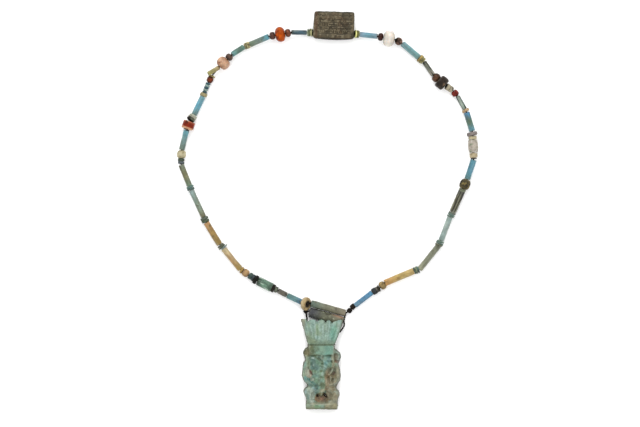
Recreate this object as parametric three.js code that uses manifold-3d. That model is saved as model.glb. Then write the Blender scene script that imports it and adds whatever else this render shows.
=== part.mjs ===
// A bead necklace with a Bes figure as its pendant, laid out flat in a ring.
// Millimetres, +Z up. The origin is on the surface under the middle of the whole necklace.
// Seen from above, +Y is the far side, with the carved plaque, and the figure lies at -Y.
import * as THREE from "three";
import { mergeVertices } from "three/addons/utils/BufferGeometryUtils.js";
import Module from "manifold-3d";

const wasm = await Module();
wasm.setup();

// Thread, and the room it has
const THREAD_D = 0.8;
const THREAD_SLACK = 0.33; // between the thread and a bore, all round
const BEAD_PLAY = 0.1; // least gap between two neighbours on the thread
const LAY_GAP = 0.3; // gap between pieces that lie against each other
const THREAD_SIDES = 4;
const THREAD_R = THREAD_D / 2;
const BORE_R = THREAD_R + THREAD_SLACK;

// Sides and edges of a turned bead
const SLIM_SIDES = 8;
const ROUND_SIDES = 10;
const ARC_STEPS = 4; // steps from end to end of a rounded bead
const BORE_FACE = 0.45; // width of the flat face round a rounded bead's bore
const FACE_SHARE = 0.8; // most that this face and the bore take of the bead's radius
const DRUM_RIM = 0.12; // bevel of a drum's edge, as a share of its radius
const THIN_DISC = 1.45; // a disc thinner than this has one round edge
const DISC_RIM = 0.15; // bevel of a disc's edge, as a share of its thickness
const DISC_NECK = 0.74; // where two fused discs touch, as a share of the smaller radius

// Colours of the beads, worn and weathered
const COLOURS = {
  blue: 0x5fa3bf,
  bright_blue: 0x4a8fbd,
  teal: 0x5c8f8e,
  pale_blue: 0x9fb9b8,
  pale_green: 0x8aa596,
  olive: 0x86896c,
  grey_green: 0x7d8b80,
  grey: 0x6e6a64,
  sand: 0xc9b58f,
  brown: 0xb08a50,
  ochre: 0xc6a561,
  dark: 0x3b332d,
  black: 0x25211f,
  cream: 0xd9cdb4,
  pink: 0xd0a588,
  orange: 0xb4511f,
  red: 0x8c2f25,
  dark_red: 0x5a342f,
  white: 0xe6dfd8,
  green: 0x5f8f78,
  thread: 0x1d1a18,
  faience: 0x8ab0a0,
  steatite: 0x5a5145,
};

// One bead: its form, its length along the thread and its diameter
const tube = (length, diameter) => ({ form: "tube", length, diameter });
const disc = (length, diameter) => ({ form: "disc", length, diameter });
const round = (length, diameter) => ({ form: "round", length, diameter });
const drum = (length, diameter) => ({ form: "drum", length, diameter });

// The beads in their order on the thread, from the pendant up the left side, over the top
// and down the right side. Beads that touch on one straight axis share a solid.
const STRAND = [
  { name: "teal_tube_1", colour: "teal", beads: [tube(7.8, 2.9)] },
  { name: "grey_brown_tube", colour: "grey", beads: [tube(4.7, 2.8)] },
  {
    name: "green_glazed_cylinder",
    colour: "green",
    beads: [disc(1.6, 3.4), disc(1.5, 4.0), drum(8.0, 4.9)],
  },
  { name: "black_disc_group", colour: "black", beads: [disc(1.6, 4.3), disc(1.4, 3.6), disc(1.8, 3.5)] },
  { name: "beige_round_bead", colour: "sand", beads: [round(3.6, 4.0), disc(1.0, 3.6)] },
  { name: "sand_tube", colour: "sand", beads: [tube(13.1, 3.1)] },
  { name: "teal_disc_group_1", colour: "teal", beads: [disc(0.8, 4.0), disc(0.9, 4.2), disc(0.9, 3.8)] },
  { name: "brown_tube", colour: "brown", beads: [tube(12.7, 3.2)] },
  { name: "teal_disc_group_2", colour: "teal", beads: [disc(1.4, 4.1), disc(1.4, 4.3)] },
  { name: "pale_green_tube", colour: "pale_green", beads: [tube(14.7, 2.8)] },
  { name: "teal_disc_group_3", colour: "teal", beads: [disc(1.1, 3.9), disc(1.1, 4.0)] },
  { name: "olive_tube_1", colour: "olive", beads: [tube(11.1, 2.9)] },
  { name: "cream_round_bead", colour: "cream", beads: [disc(1.3, 3.4), disc(1.4, 3.4), round(4.1, 4.8)] },
  { name: "blue_tube_1", colour: "blue", beads: [tube(9.7, 3.0)] },
  { name: "red_cylinder_bead", colour: "red", beads: [disc(0.6, 3.2), drum(4.2, 6.3)] },
  {
    name: "mottled_disc_group",
    colour: "grey_green",
    beads: [disc(1.1, 4.4), disc(1.0, 4.5), disc(1.0, 4.3)],
  },
  { name: "blue_tube_2", colour: "blue", beads: [tube(10.0, 3.0)] },
  {
    name: "striped_disc_group",
    colour: "pale_blue",
    beads: [disc(1.8, 3.9), ...Array(5).fill(disc(1.1, 2.8))],
  },
  { name: "dark_red_round_bead", colour: "dark_red", beads: [round(3.0, 3.5), disc(0.9, 3.6)] },
  { name: "olive_tube_2", colour: "olive", beads: [tube(4.8, 2.5)] },
  { name: "pink_round_bead", colour: "pink", beads: [round(5.4, 7.0), round(3.0, 4.1)] },
  { name: "teal_tube_2", colour: "teal", beads: [tube(7.0, 2.9)] },
  { name: "cream_disc_group", colour: "cream", beads: [disc(1.0, 3.5), disc(0.9, 3.7), disc(0.9, 3.7)] },
  { name: "green_blue_tube", colour: "grey_green", beads: [tube(10.2, 3.0)] },
  {
    name: "orange_round_bead",
    colour: "orange",
    beads: [round(2.9, 4.1), round(5.0, 7.9), round(2.9, 4.3)],
  },
  { name: "dark_blue_tube", colour: "teal", beads: [tube(7.5, 2.5)] },
  { name: "olive_disc_group_1", colour: "olive", beads: [disc(0.8, 4.0), disc(0.9, 4.1), disc(0.9, 4.1)] },
  { name: "carved_plaque", colour: "steatite", plaque: true },
  { name: "olive_disc_group_2", colour: "olive", beads: [disc(0.8, 4.2), disc(0.7, 4.2), disc(0.7, 4.0)] },
  { name: "light_blue_tube", colour: "blue", beads: [tube(8.8, 2.8)] },
  { name: "white_round_bead", colour: "white", beads: [round(2.7, 4.2), round(5.8, 8.7)] },
  { name: "dark_round_bead_1", colour: "dark_red", beads: [round(3.3, 4.1)] },
  { name: "blue_tube_3", colour: "blue", beads: [tube(10.8, 3.1)] },
  { name: "ochre_disc_group", colour: "ochre", beads: [disc(1.1, 4.2), disc(1.0, 4.2), disc(0.9, 3.8)] },
  { name: "grey_green_tube_1", colour: "grey_green", beads: [tube(7.9, 2.6)] },
  { name: "black_cylinder_bead", colour: "black", beads: [round(3.3, 4.3), drum(4.1, 6.5)] },
  { name: "cream_bead_pair", colour: "cream", beads: [disc(2.0, 3.6), disc(1.9, 3.3)] },
  { name: "red_round_bead", colour: "red", beads: [round(3.1, 3.8)] },
  { name: "grey_green_tube_2", colour: "grey_green", beads: [tube(7.2, 2.4)] },
  { name: "ochre_disc", colour: "ochre", beads: [disc(1.7, 3.9)] },
  { name: "blue_tube_4", colour: "blue", beads: [tube(9.5, 3.2)] },
  {
    name: "mottled_barrel_bead",
    colour: "cream",
    beads: [disc(2.0, 5.2), drum(1.8, 4.0), round(6.7, 5.2), drum(2.5, 4.0), disc(0.6, 3.3)],
  },
  { name: "blue_tube_5", colour: "blue", beads: [tube(10.0, 3.1)] },
  { name: "dark_ribbed_bead", colour: "dark", beads: [round(5.2, 5.6), disc(1.2, 3.8)] },
  { name: "dark_mottled_tube", colour: "dark", beads: [tube(11.1, 3.5)] },
  { name: "teal_disc_group_4", colour: "teal", beads: [disc(1.0, 3.8), disc(0.9, 3.8), disc(0.9, 3.8)] },
  { name: "pale_blue_tube", colour: "pale_blue", beads: [tube(12.2, 2.9)] },
  { name: "teal_disc_group_5", colour: "teal", beads: [disc(0.9, 4.1), disc(1.0, 4.1), disc(0.9, 4.1)] },
  { name: "olive_tube_3", colour: "olive", beads: [tube(14.2, 3.0)] },
  { name: "teal_disc_group_6", colour: "teal", beads: [disc(0.9, 3.9), disc(0.9, 3.9), disc(0.9, 3.8)] },
  { name: "ochre_tube", colour: "ochre", beads: [tube(15.0, 3.4)] },
  { name: "ochre_round_bead", colour: "ochre", beads: [round(3.2, 4.3)] },
  { name: "grey_disc_group", colour: "grey", beads: [disc(0.8, 3.6), disc(1.2, 3.2), disc(2.2, 3.6)] },
  { name: "bright_blue_tube", colour: "bright_blue", beads: [tube(10.6, 2.6)] },
];

// The carved plaque, flat on the surface, threaded near its lower long side
const PLAQUE = { length: 20.3, width: 14.0, thickness: 5.4, corner: 0.9, boreOffset: 3.8 };
const STROKES = { columns: 6, share: 0.6, width: 0.7, depth: 0.35, margin: 1.6 };
const STROKE_ROWS = [
  { place: 0.27, turns: [-50, 60] }, // places as shares of the plaque's width, turns in degrees
  { place: -0.2, turns: [90, -20] },
];
const STROKE_LINES = [0.03, -0.38];

// The ring in which the necklace lies, as points of the thread's line seen from above, near the
// joints of the beads, from the pendant up the left side and round. Their origin is the middle
// of the upper spacer tube.
const ROUTE = [
  [-20.4, 6.4], [-24.9, 8.7], [-35.2, 13.7], [-39.5, 16.5], [-43.6, 19.2], [-52.1, 29.6],
  [-54.1, 31.7], [-60.9, 42.8], [-62.1, 45.4], [-68.3, 58.9], [-69.2, 61.1], [-73.5, 71.8],
  [-73.2, 79.1], [-70.8, 88.8], [-69.0, 93.7], [-67.1, 96.5], [-62.6, 105.8], [-59.8, 112.8],
  [-57.8, 116.6], [-54.4, 120.4], [-48.1, 126.7], [-42.1, 130.7], [-39.1, 131.8], [-29.5, 135.8],
  [-18.5, 137.8], [-10.5, 137.8], [-7.6, 137.7], [12.9, 137.2], [15.7, 136.9], [24.6, 135.8],
  [33.4, 134.2], [36.8, 132.6], [45.4, 125.3], [47.9, 123.2], [52.6, 116.4], [58.6, 111.2],
  [62.4, 108.8], [64.6, 106.2], [68.3, 99.7], [69.2, 98.0], [72.1, 88.4], [72.8, 74.3],
  [69.5, 64.5], [66.8, 58.4], [62.3, 48.1], [60.9, 45.4], [56.5, 33.9], [55.1, 31.1],
  [45.9, 19.6], [42.8, 18.6], [28.6, 12.7], [25.9, 10.2], [22.0, 7.9],
];
const ROUTE_SAMPLES = 3000;
const ROUTE_SCALES = [0.5, 2]; // bounds of the route's growth or shrinkage to the beads' length
const FIT_STEPS = 40;
const FIT_PASSES = 4;

// The pendant's two spacer tubes, one above the other, and the cream ring beside them
const SPACER_L = 17.0;
const SPACER_UPPER_D = 3.2;
const SPACER_LOWER_D = 4.3;
const SPACER_TURN = -16; // degrees from +X
const SPACER_LOWER_SHIFT = 0.2; // along the tubes, towards +X
const SPACER_LIFT = 0.9; // the upper tube's left end, held up by the ring
const RING_BEAD = { diameter: 6.8, thickness: 2.9, bore: 2.2, rim: 0.9 };
const RING_SIDES = 12;
const RING_AT = [-11.7, 2.7];
const RING_TURN = -12; // degrees from +X, seen from above
const RING_LEAN = 25; // degrees by which its right face looks up
const RING_PLAY = 0.3; // between the ring and the beads beside it, as the ring leans

// The knots of the thread, lumps a little wider than the thread, and the places it turns at
const KNOT_R = 1.05;
const KNOT_LEFT = [-11.2, -1.6, 1.2];
const KNOTS_RIGHT = [
  [12.2, 0.3, 1.3],
  [10.7, -1.2, 1.3],
];
const STRAND_END = [13.5, 1.3, 1.3]; // beside the first right knot
const LEFT_MEETING = { past: 0.8, height: 2.6 }; // off the upper tube's left end
const RIGHT_MEETING = 0.9; // past the right ends of both tubes
const UNDER_RING = [-9.0, 0.6, 1.4];
const LEFT_OF_CROWN = [[-7.1, 0.1, 1.6], [-7.6, -3.8]]; // the first lies in the crown's first notch
const RIGHT_OF_CROWN = [[9.3, -7.0], [11.3, -3.6]]; // these are from the top of the figure's axis
const LOOP_MOUTHS = [0.9, 0.5]; // how far the thread runs straight out of the loop's two ends

// The figure, and the outlines that its relief is drawn with, left then right: heights over its
// base, and places from its axis. They and the relief grow with the figure. The outline swings
// smoothly between these points up to the crown's foot, and runs straight between them above it.
const FIGURE_H = 45.3;
const FIGURE_TOP = [-3.4, -5.1]; // the top of its axis, from the middle of the upper spacer tube
const LEFT_OUTLINE = [
  [0, -7.8], [2.7, -7.75], [4.6, -7.5], [5.8, -7.75], [7.75, -8.5], [9.0, -9.0], [10.1, -8.5],
  [11.6, -7.25], [12.6, -7.5], [14.0, -8.6], [15.3, -9.2], [17.0, -9.75], [21.0, -9.3],
  [23.0, -9.1], [24.6, -8.1], [25.6, -8.2], [27.1, -8.95], [28.6, -9.15], [30.0, -8.4],
  [31.1, -6.9], [33.0, -6.85], [45.3, -10.4],
];
const RIGHT_OUTLINE = [
  [0, 8.0], [2.0, 8.2], [5.0, 8.35], [7.4, 9.15], [8.6, 8.95], [10.6, 7.6], [11.8, 7.8],
  [13.2, 8.6], [14.6, 9.45], [16.4, 9.7], [20.5, 9.15], [22.6, 8.55], [24.6, 9.4], [26.4, 9.85],
  [28.0, 9.5], [29.2, 8.1], [30.4, 6.65], [31.6, 6.7], [33.0, 6.95], [35.0, 7.7], [37.1, 8.6],
  [39.2, 9.35], [41.2, 10.0], [45.3, 10.8],
];
const CROWN_FOOT = LEFT_OUTLINE.at(-2)[0];
const FIGURE_DRAWN = LEFT_OUTLINE.at(-1)[0];
const FIGURE_SCALE = FIGURE_H / FIGURE_DRAWN;
const FIGURE_DEPTH = 9.6; // at the tip of the nose
const FIGURE_RIM = 4.0; // height of the front at the outline
const PLINTH_H = 3.0;
const PLINTH_DEPTH = 7.4;
const FIGURE_ROWS = 42;
const FEATHER_EDGES = [0, 0.153, 0.374, 0.576, 0.727, 1]; // as shares of the crown's width
const FEATHERS = FEATHER_EDGES.length - 1;
const COLUMNS_PER_FEATHER = 4; // two ribs on each feather
const RIB_HEIGHT = 0.6;
const NOTCH_R = 0.8; // the notches between the feather tips, half their width
const NOTCH_DEEP = 1.1;
const CROWN_BACK = SPACER_LOWER_D + LAY_GAP; // the crown reaches over the lower spacer tube
const CROWN_THICK = 2.6;
const LOOP_Y = FIGURE_H - 7.8; // the threading loop behind the crown
const LOOP_D = 3.5;
const LOOP_L = 12.6;
const LOOP_BITE = 0.35; // how far the loop runs into the crown's back
const LOOP_SHIFT = 0.2; // towards the figure's left outline

const material = (colour, roughness = 0.75) =>
  new THREE.MeshStandardMaterial({ color: COLOURS[colour], roughness, metalness: 0 });

const at = ([x, y, z = 0]) => new THREE.Vector3(x, y, z);
const radians = THREE.MathUtils.degToRad;

function named(name, geometry, colour) {
  const mesh = new THREE.Mesh(geometry, material(colour));
  mesh.name = name;
  return mesh;
}

// A closed geometry as a solid for joining and cutting
function solidOf(geometry) {
  const bare = new THREE.BufferGeometry().setAttribute("position", geometry.getAttribute("position"));
  if (geometry.index) bare.setIndex(geometry.index);
  const merged = mergeVertices(bare, 1e-4);
  const mesh = new wasm.Mesh({
    numProp: 3,
    vertProperties: new Float32Array(merged.getAttribute("position").array),
    triVerts: new Uint32Array(merged.index.array),
  });
  return new wasm.Manifold(mesh);
}

function geometryOf(solid) {
  const mesh = solid.getMesh();
  return new THREE.BufferGeometry()
    .setAttribute("position", new THREE.BufferAttribute(new Float32Array(mesh.vertProperties), 3))
    .setIndex(new THREE.BufferAttribute(new Uint32Array(mesh.triVerts), 1));
}

// A cylinder between two points, as a solid
function rod(from, to, radius, sides) {
  const axis = to.clone().sub(from);
  const turn = new THREE.Quaternion().setFromUnitVectors(new THREE.Vector3(0, 1, 0), axis.clone().normalize());
  const geometry = new THREE.CylinderGeometry(radius, radius, axis.length(), sides)
    .applyQuaternion(turn)
    .translate(...from.clone().add(to).multiplyScalar(0.5).toArray());
  return solidOf(geometry);
}

// The outer profile of one bead from its start at y, as [radius, y] points. A round bead is
// cut off where its face meets the bore's rim.
function beadProfile({ form, length, diameter }, y) {
  const radius = diameter / 2;
  if (form === "tube") return [[radius, y], [radius, y + length]];
  if (form === "disc" && length < THIN_DISC) return [[radius, y + length / 2]];
  if (form === "disc") {
    const rim = DISC_RIM * length;
    return [[radius, y + rim], [radius, y + length - rim]];
  }
  if (form === "drum") {
    const rim = DRUM_RIM * radius;
    return [[radius - rim, y], [radius, y + rim], [radius, y + length - rim], [radius - rim, y + length]];
  }
  const face = Math.min(BORE_R + BORE_FACE, FACE_SHARE * radius);
  const from = Math.acos(face / radius);
  return Array.from({ length: ARC_STEPS + 1 }, (_, k) => {
    const angle = -from + (2 * from * k) / ARC_STEPS;
    const across = Math.sin(angle) / Math.sin(from);
    return [radius * Math.cos(angle), y + (length * (1 + across)) / 2];
  });
}

const unitLength = (unit) =>
  unit.plaque ? PLAQUE.length : unit.beads.reduce((sum, bead) => sum + bead.length, 0);
const unitRadius = (unit) =>
  unit.plaque ? PLAQUE.thickness / 2 : Math.max(...unit.beads.map((bead) => bead.diameter)) / 2;

// The whole closed profile of a unit, its middle at y = 0: up the outside and down the bore
function unitProfile(unit) {
  let y = -unitLength(unit) / 2;
  const points = [[BORE_R, y]];
  unit.beads.forEach((bead, k) => {
    const [before, after] = [unit.beads[k - 1], unit.beads[k + 1]];
    const end = y + bead.length;
    if (before) points.push([(DISC_NECK * Math.min(before.diameter, bead.diameter)) / 2, y]);
    points.push(...beadProfile(bead, y).filter(([, h]) => (!before || h > y) && (!after || h < end)));
    y = end;
  });
  points.push([BORE_R, y], points[0]);
  return points.map(([r, h]) => new THREE.Vector2(r, h));
}

// How wide a unit's end face is, at its first or last bead. A round bead and a thin disc slope
// away from their bore's rim.
function faceRadius(unit, end) {
  if (unit.plaque) return PLAQUE.thickness / 2;
  const bead = unit.beads.at(end === "first" ? 0 : -1);
  const sloped = bead.form === "round" || (bead.form === "disc" && bead.length < THIN_DISC);
  return sloped ? Math.min(BORE_R + BORE_FACE, bead.diameter / 2) : bead.diameter / 2;
}

// Heights of the thread at the joints between units: the fatter neighbour rests on the surface
function jointHeights(units, first, last) {
  const heights = [first];
  for (let k = 1; k < units.length; k += 1) {
    heights.push(Math.max(unitRadius(units[k - 1]), unitRadius(units[k])));
  }
  heights.push(last);
  return heights;
}

// Walks the units along the route as chords. Each chord is a unit's length and its share of the
// gaps. Returns the joints, and how much of the route is left over (negative where it is short).
function walk(points, chords, heights) {
  const joints = [at([points[0].x, points[0].y, heights[0]])];
  let index = 0;
  let here = points[0].clone();
  for (let k = 0; k < chords.length; k += 1) {
    const rise = heights[k + 1] - heights[k];
    const reach = Math.sqrt(chords[k] ** 2 - rise ** 2);
    while (index < points.length - 1 && here.distanceTo(points[index + 1]) < reach) index += 1;
    if (index >= points.length - 1) {
      const missing = chords.slice(k).reduce((sum, chord) => sum + chord, 0) - here.distanceTo(points.at(-1));
      return { joints, left: -missing };
    }
    const a = points[index];
    const b = points[index + 1];
    const [low, high] = [here.distanceTo(a), here.distanceTo(b)];
    here = a.clone().lerp(b, high > low ? Math.max(0, (reach - low) / (high - low)) : 0);
    joints.push(at([here.x, here.y, heights[k + 1]]));
  }
  return { joints, left: here.distanceTo(points.at(-1)) };
}

// The gap on each side of every joint, wide enough for the faces that meet there at an angle
function jointGaps(units, joints) {
  const ways = units.map((_, k) => joints[k + 1].clone().sub(joints[k]).normalize());
  return joints.map((_, k) => {
    if (k === 0 || k === units.length) return BEAD_PLAY / 2;
    const bend = ways[k - 1].angleTo(ways[k]);
    const face = Math.min(faceRadius(units[k - 1], "last"), faceRadius(units[k], "first"));
    return BEAD_PLAY / 2 + face * Math.tan(bend / 2);
  });
}

// Lays the units along the route between two fixed points. The route grows or shrinks about its
// origin until the strung units just fill it, and the gaps follow the bends that this gives.
function layStrand(units, start, end) {
  const heights = jointHeights(units, start.z, end.z);
  const ends = [start, end].map((point) => at([point.x, point.y]));
  const layAt = (scale, gaps) => {
    const inner = ROUTE.map(([x, y]) => at([x * scale, y * scale]));
    const curve = new THREE.CatmullRomCurve3([ends[0], ...inner, ends[1]], false, "centripetal");
    const chords = units.map((unit, k) => unitLength(unit) + gaps[k] + gaps[k + 1]);
    return walk(curve.getPoints(ROUTE_SAMPLES), chords, heights);
  };
  const fit = (gaps) => {
    let [low, high] = ROUTE_SCALES;
    for (let count = 0; count < FIT_STEPS; count += 1) {
      const scale = (low + high) / 2;
      if (layAt(scale, gaps).left > 0) high = scale;
      else low = scale;
    }
    return layAt(high, gaps).joints;
  };
  let gaps = Array(units.length + 1).fill(BEAD_PLAY / 2);
  for (let pass = 0; pass < FIT_PASSES; pass += 1) gaps = jointGaps(units, fit(gaps));
  return { joints: fit(gaps), gaps };
}

// A frame whose Y runs along the thread and whose Z looks up, at a place
function strungFrame(from, to, place) {
  const y = to.clone().sub(from).normalize();
  const x = y.clone().cross(new THREE.Vector3(0, 0, 1)).normalize();
  const z = x.clone().cross(y);
  return new THREE.Matrix4().makeBasis(x, y, z).setPosition(place);
}

function turnedBead(unit) {
  const slim = unit.beads.every((bead) => bead.form === "tube" || bead.form === "disc");
  const sides = slim ? SLIM_SIDES : ROUND_SIDES;
  return new THREE.LatheGeometry(unitProfile(unit), sides);
}

// A thread along points, as a solid: one ring of the section at each point
function threadAlong(points) {
  const path = new THREE.Curve();
  path.getPoint = (t, target = new THREE.Vector3()) => {
    const place = t * (points.length - 1);
    const k = Math.min(Math.floor(place), points.length - 2);
    return target.lerpVectors(points[k], points[k + 1], place - k);
  };
  path.getPointAt = path.getPoint;
  path.getTangentAt = (t, target = new THREE.Vector3()) => {
    const k = Math.round(t * (points.length - 1));
    const before = points[Math.max(k - 1, 0)];
    const after = points[Math.min(k + 1, points.length - 1)];
    const here = points[k];
    const back = here.clone().sub(before).normalize();
    const ahead = after.clone().sub(here).normalize();
    return target.copy(back.add(ahead)).normalize();
  };
  const section = new THREE.Shape().absarc(0, 0, THREAD_R, 0, 2 * Math.PI);
  const corners = section.getSpacedPoints(THREAD_SIDES).slice(0, THREAD_SIDES);
  const geometry = new THREE.ExtrudeGeometry(new THREE.Shape(corners), {
    steps: points.length - 1,
    extrudePath: path,
    curveSegments: 1,
  });
  return solidOf(geometry);
}

const knot = (place) => solidOf(new THREE.IcosahedronGeometry(KNOT_R, 0).translate(...place));

// The plaque: a flat block with rounded corners, rows of shallow strokes and its bore
function plaqueGeometry() {
  const { length, width, thickness, corner, boreOffset } = PLAQUE;
  const [x, y] = [length / 2 - corner, width / 2 - corner];
  const outline = new THREE.Shape();
  outline.absarc(x, y, corner, 0, Math.PI / 2);
  outline.absarc(-x, y, corner, Math.PI / 2, Math.PI);
  outline.absarc(-x, -y, corner, Math.PI, 1.5 * Math.PI);
  outline.absarc(x, -y, corner, 1.5 * Math.PI, 2 * Math.PI);
  const block = new THREE.ExtrudeGeometry(outline, { depth: thickness, bevelEnabled: false, curveSegments: 2 });
  let solid = solidOf(block);
  const stroke = (cx, cy, long, turn) => {
    const cut = new THREE.BoxGeometry(long, STROKES.width, 2 * STROKES.depth).rotateZ(radians(turn));
    solid = solid.subtract(solidOf(cut.translate(cx, cy, thickness)));
  };
  const field = length - 2 * STROKES.margin;
  const pitch = field / STROKES.columns;
  STROKE_ROWS.forEach(({ place, turns }) => {
    for (let k = 0; k < STROKES.columns; k += 1) {
      stroke((k + 0.5) * pitch - field / 2, place * width, STROKES.share * pitch, turns[k % 2]);
    }
  });
  STROKE_LINES.forEach((place) => stroke(0, place * width, field, 0));
  const boreEnd = (side) => at([side * length, -boreOffset, thickness / 2]);
  const bore = rod(boreEnd(-1), boreEnd(1), BORE_R, SLIM_SIDES);
  return geometryOf(solid.subtract(bore).translate([0, boreOffset, -thickness / 2]));
}

// Where an outline is at a height
function outlineAt(outline, y) {
  const next = Math.max(1, outline.findIndex(([height]) => height >= y - 1e-9));
  const [[y0, x0], [y1, x1]] = [outline[next - 1], outline[next]];
  const t = (y - y0) / (y1 - y0);
  return x0 + (x1 - x0) * (y0 < CROWN_FOOT ? step(0, 1, t) : t);
}

// Relief forms: each gives the front's height at a place, or nothing outside itself
const BULGE = 0.6; // how round a form's edge is
function dome(x, y, [cx, cy], [rx, ry], base, top) {
  const q = ((x - cx) / rx) ** 2 + ((y - cy) / ry) ** 2;
  return q < 1 ? base + (top - base) * (1 - q) ** BULGE : 0;
}

function limb(x, y, points, radius, base, top) {
  let nearest = Infinity;
  for (let k = 1; k < points.length; k += 1) {
    const [[ax, ay], [bx, by]] = [points[k - 1], points[k]];
    const along = ((x - ax) * (bx - ax) + (y - ay) * (by - ay)) / ((bx - ax) ** 2 + (by - ay) ** 2);
    const t = Math.min(1, Math.max(0, along));
    nearest = Math.min(nearest, Math.hypot(x - ax - t * (bx - ax), y - ay - t * (by - ay)));
  }
  return nearest < radius ? base + (top - base) * (1 - (nearest / radius) ** 2) ** BULGE : 0;
}

// The larger of two heights, with the crease between them rounded
function blendUp(a, b, width = 0.5) {
  const near = Math.max(width - Math.abs(a - b), 0) / width;
  return Math.max(a, b) + (near * near * width) / 4;
}

// Runs smoothly from 0 to 1 as a value goes from one bound to the other, up or down
function step(from, to, value) {
  const t = THREE.MathUtils.clamp((value - from) / (to - from), 0, 1);
  return t * t * (3 - 2 * t);
}

// The body below the crown: forms laid over each other, placed from the axis and the base
function bodyRelief(x, y) {
  const deep = FIGURE_DEPTH;
  const forms = [
    dome(x, y, [-0.4, 15.4], [4.2, 7.4], 4.4, 0.82 * deep), // trunk
    dome(x, y, [-0.2, 14.6], [3.2, 3.6], 5.0, 0.88 * deep), // belly
    dome(x, y, [-0.3, 25.6], [7.6, 8.8], 4.4, 0.86 * deep), // head
    dome(x, y, [-0.2, 29.6], [7.4, 3.2], 6.0, 0.9 * deep), // brow band
    dome(x, y, [-0.2, 22.8], [5.0, 6.2], 6.0, 0.9 * deep), // face and beard
    limb(x, y, [[-6.1, 27.2], [-6.1, 21.6], [-3.6, 18.0]], 0.8, 5.0, 0.8 * deep), // edges of the mane
    limb(x, y, [[5.7, 27.2], [5.7, 21.0], [3.2, 17.4]], 0.8, 5.0, 0.8 * deep),
    dome(x, y, [0.0, 24.9], [1.1, 2.6], 6.5, 0.97 * deep), // nose
    dome(x, y, [0.3, 24.0], [1.8, 1.0], 6.5, deep),
    dome(x, y, [-3.3, 23.0], [2.2, 1.6], 6.5, 0.92 * deep), // cheeks
    dome(x, y, [3.6, 22.8], [2.2, 1.6], 6.5, 0.92 * deep),
    dome(x, y, [0.2, 21.2], [2.6, 1.2], 6.5, 0.94 * deep), // lower lip
    dome(x, y, [-8.0, 28.6], [1.9, 2.2], 3.8, 0.64 * deep), // ears
    dome(x, y, [8.2, 26.9], [2.6, 3.2], 3.8, 0.66 * deep),
    limb(x, y, [[-7.6, 23.4], [-8.4, 17.6], [-7.6, 14.2], [-3.0, 11.6]], 1.9, 3.8, 0.76 * deep), // arms
    limb(x, y, [[7.2, 23.2], [8.3, 18.4], [7.7, 14.6], [3.8, 11.8]], 1.9, 3.8, 0.76 * deep),
    limb(x, y, [[-3.2, 10.9], [-7.1, 9.2], [-6.0, 4.6]], 2.4, 3.8, 0.8 * deep), // legs
    limb(x, y, [[3.2, 10.6], [7.4, 8.4], [6.4, 4.6]], 2.4, 3.8, 0.8 * deep),
    dome(x, y, [-0.2, 10.9], [4.8, 1.9], 5.0, 0.78 * deep), // loins
    limb(x, y, [[0.1, 10.2], [0.1, 4.2]], 0.8, 3.0, 0.62 * deep), // tail
    dome(x, y, [-5.0, 3.6], [2.8, 1.3], 5.0, 0.82 * deep), // feet
    dome(x, y, [5.4, 3.6], [2.8, 1.3], 5.0, 0.82 * deep),
    dome(x, y, [4.8, 15.6], [1.2, 2.6], 4.2, 0.66 * deep), // a lock beside the right arm
  ];
  let z = forms.reduce((height, form) => blendUp(height, form), FIGURE_RIM);
  z -= 0.9 * step(1, 0.2, Math.hypot((x + 3.7) / 1.7, (y - 25.9) / 1.0)); // eye hollows
  z -= 0.9 * step(1, 0.2, Math.hypot((x - 3.5) / 1.7, (y - 25.5) / 1.0));
  z -= 0.7 * step(1, 0.2, Math.hypot((x - 0.4) / 2.8, (y - 22.6) / 0.6)); // mouth
  z -= 1.1 * step(1, 0.3, Math.hypot((x - 8.0) / 1.5, (y - 26.9) / 2.0)); // ear hollows
  z -= 0.7 * step(1, 0.3, Math.hypot((x + 8.1) / 0.9, (y - 28.6) / 1.3));
  z -= 0.8 * step(0.6, 0.1, Math.abs(y - 26.9)) * step(6.8, 5.6, Math.abs(x)); // under the brow
  return blendUp(z, PLINTH_DEPTH * step(PLINTH_H + 0.5, PLINTH_H, y), 0.2);
}

// The crown: each feather has two upright ribs, over a flat slab, above a groove at its foot
function crownRelief(across, y) {
  const feather = Math.max(0, FEATHER_EDGES.findLastIndex((edge) => edge <= across + 1e-9));
  const [from, to] = [FEATHER_EDGES[feather], FEATHER_EDGES[feather + 1] ?? 1];
  const rib = to > from ? Math.abs(Math.sin((2 * Math.PI * (across - from)) / (to - from))) : 0;
  const fade = step(CROWN_FOOT, CROWN_FOOT + 1.4, y);
  return CROWN_BACK + CROWN_THICK - RIB_HEIGHT * (1 - rib * fade);
}

function frontHeight(across, x, y) {
  const inCrown = step(CROWN_FOOT - 0.5, CROWN_FOOT + 0.1, y);
  return (1 - inCrown) * bodyRelief(x, y) + inCrown * crownRelief(across, y);
}

const backHeight = (y) => CROWN_BACK * step(CROWN_FOOT - 1.6, CROWN_FOOT + 0.4, y);

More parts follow.
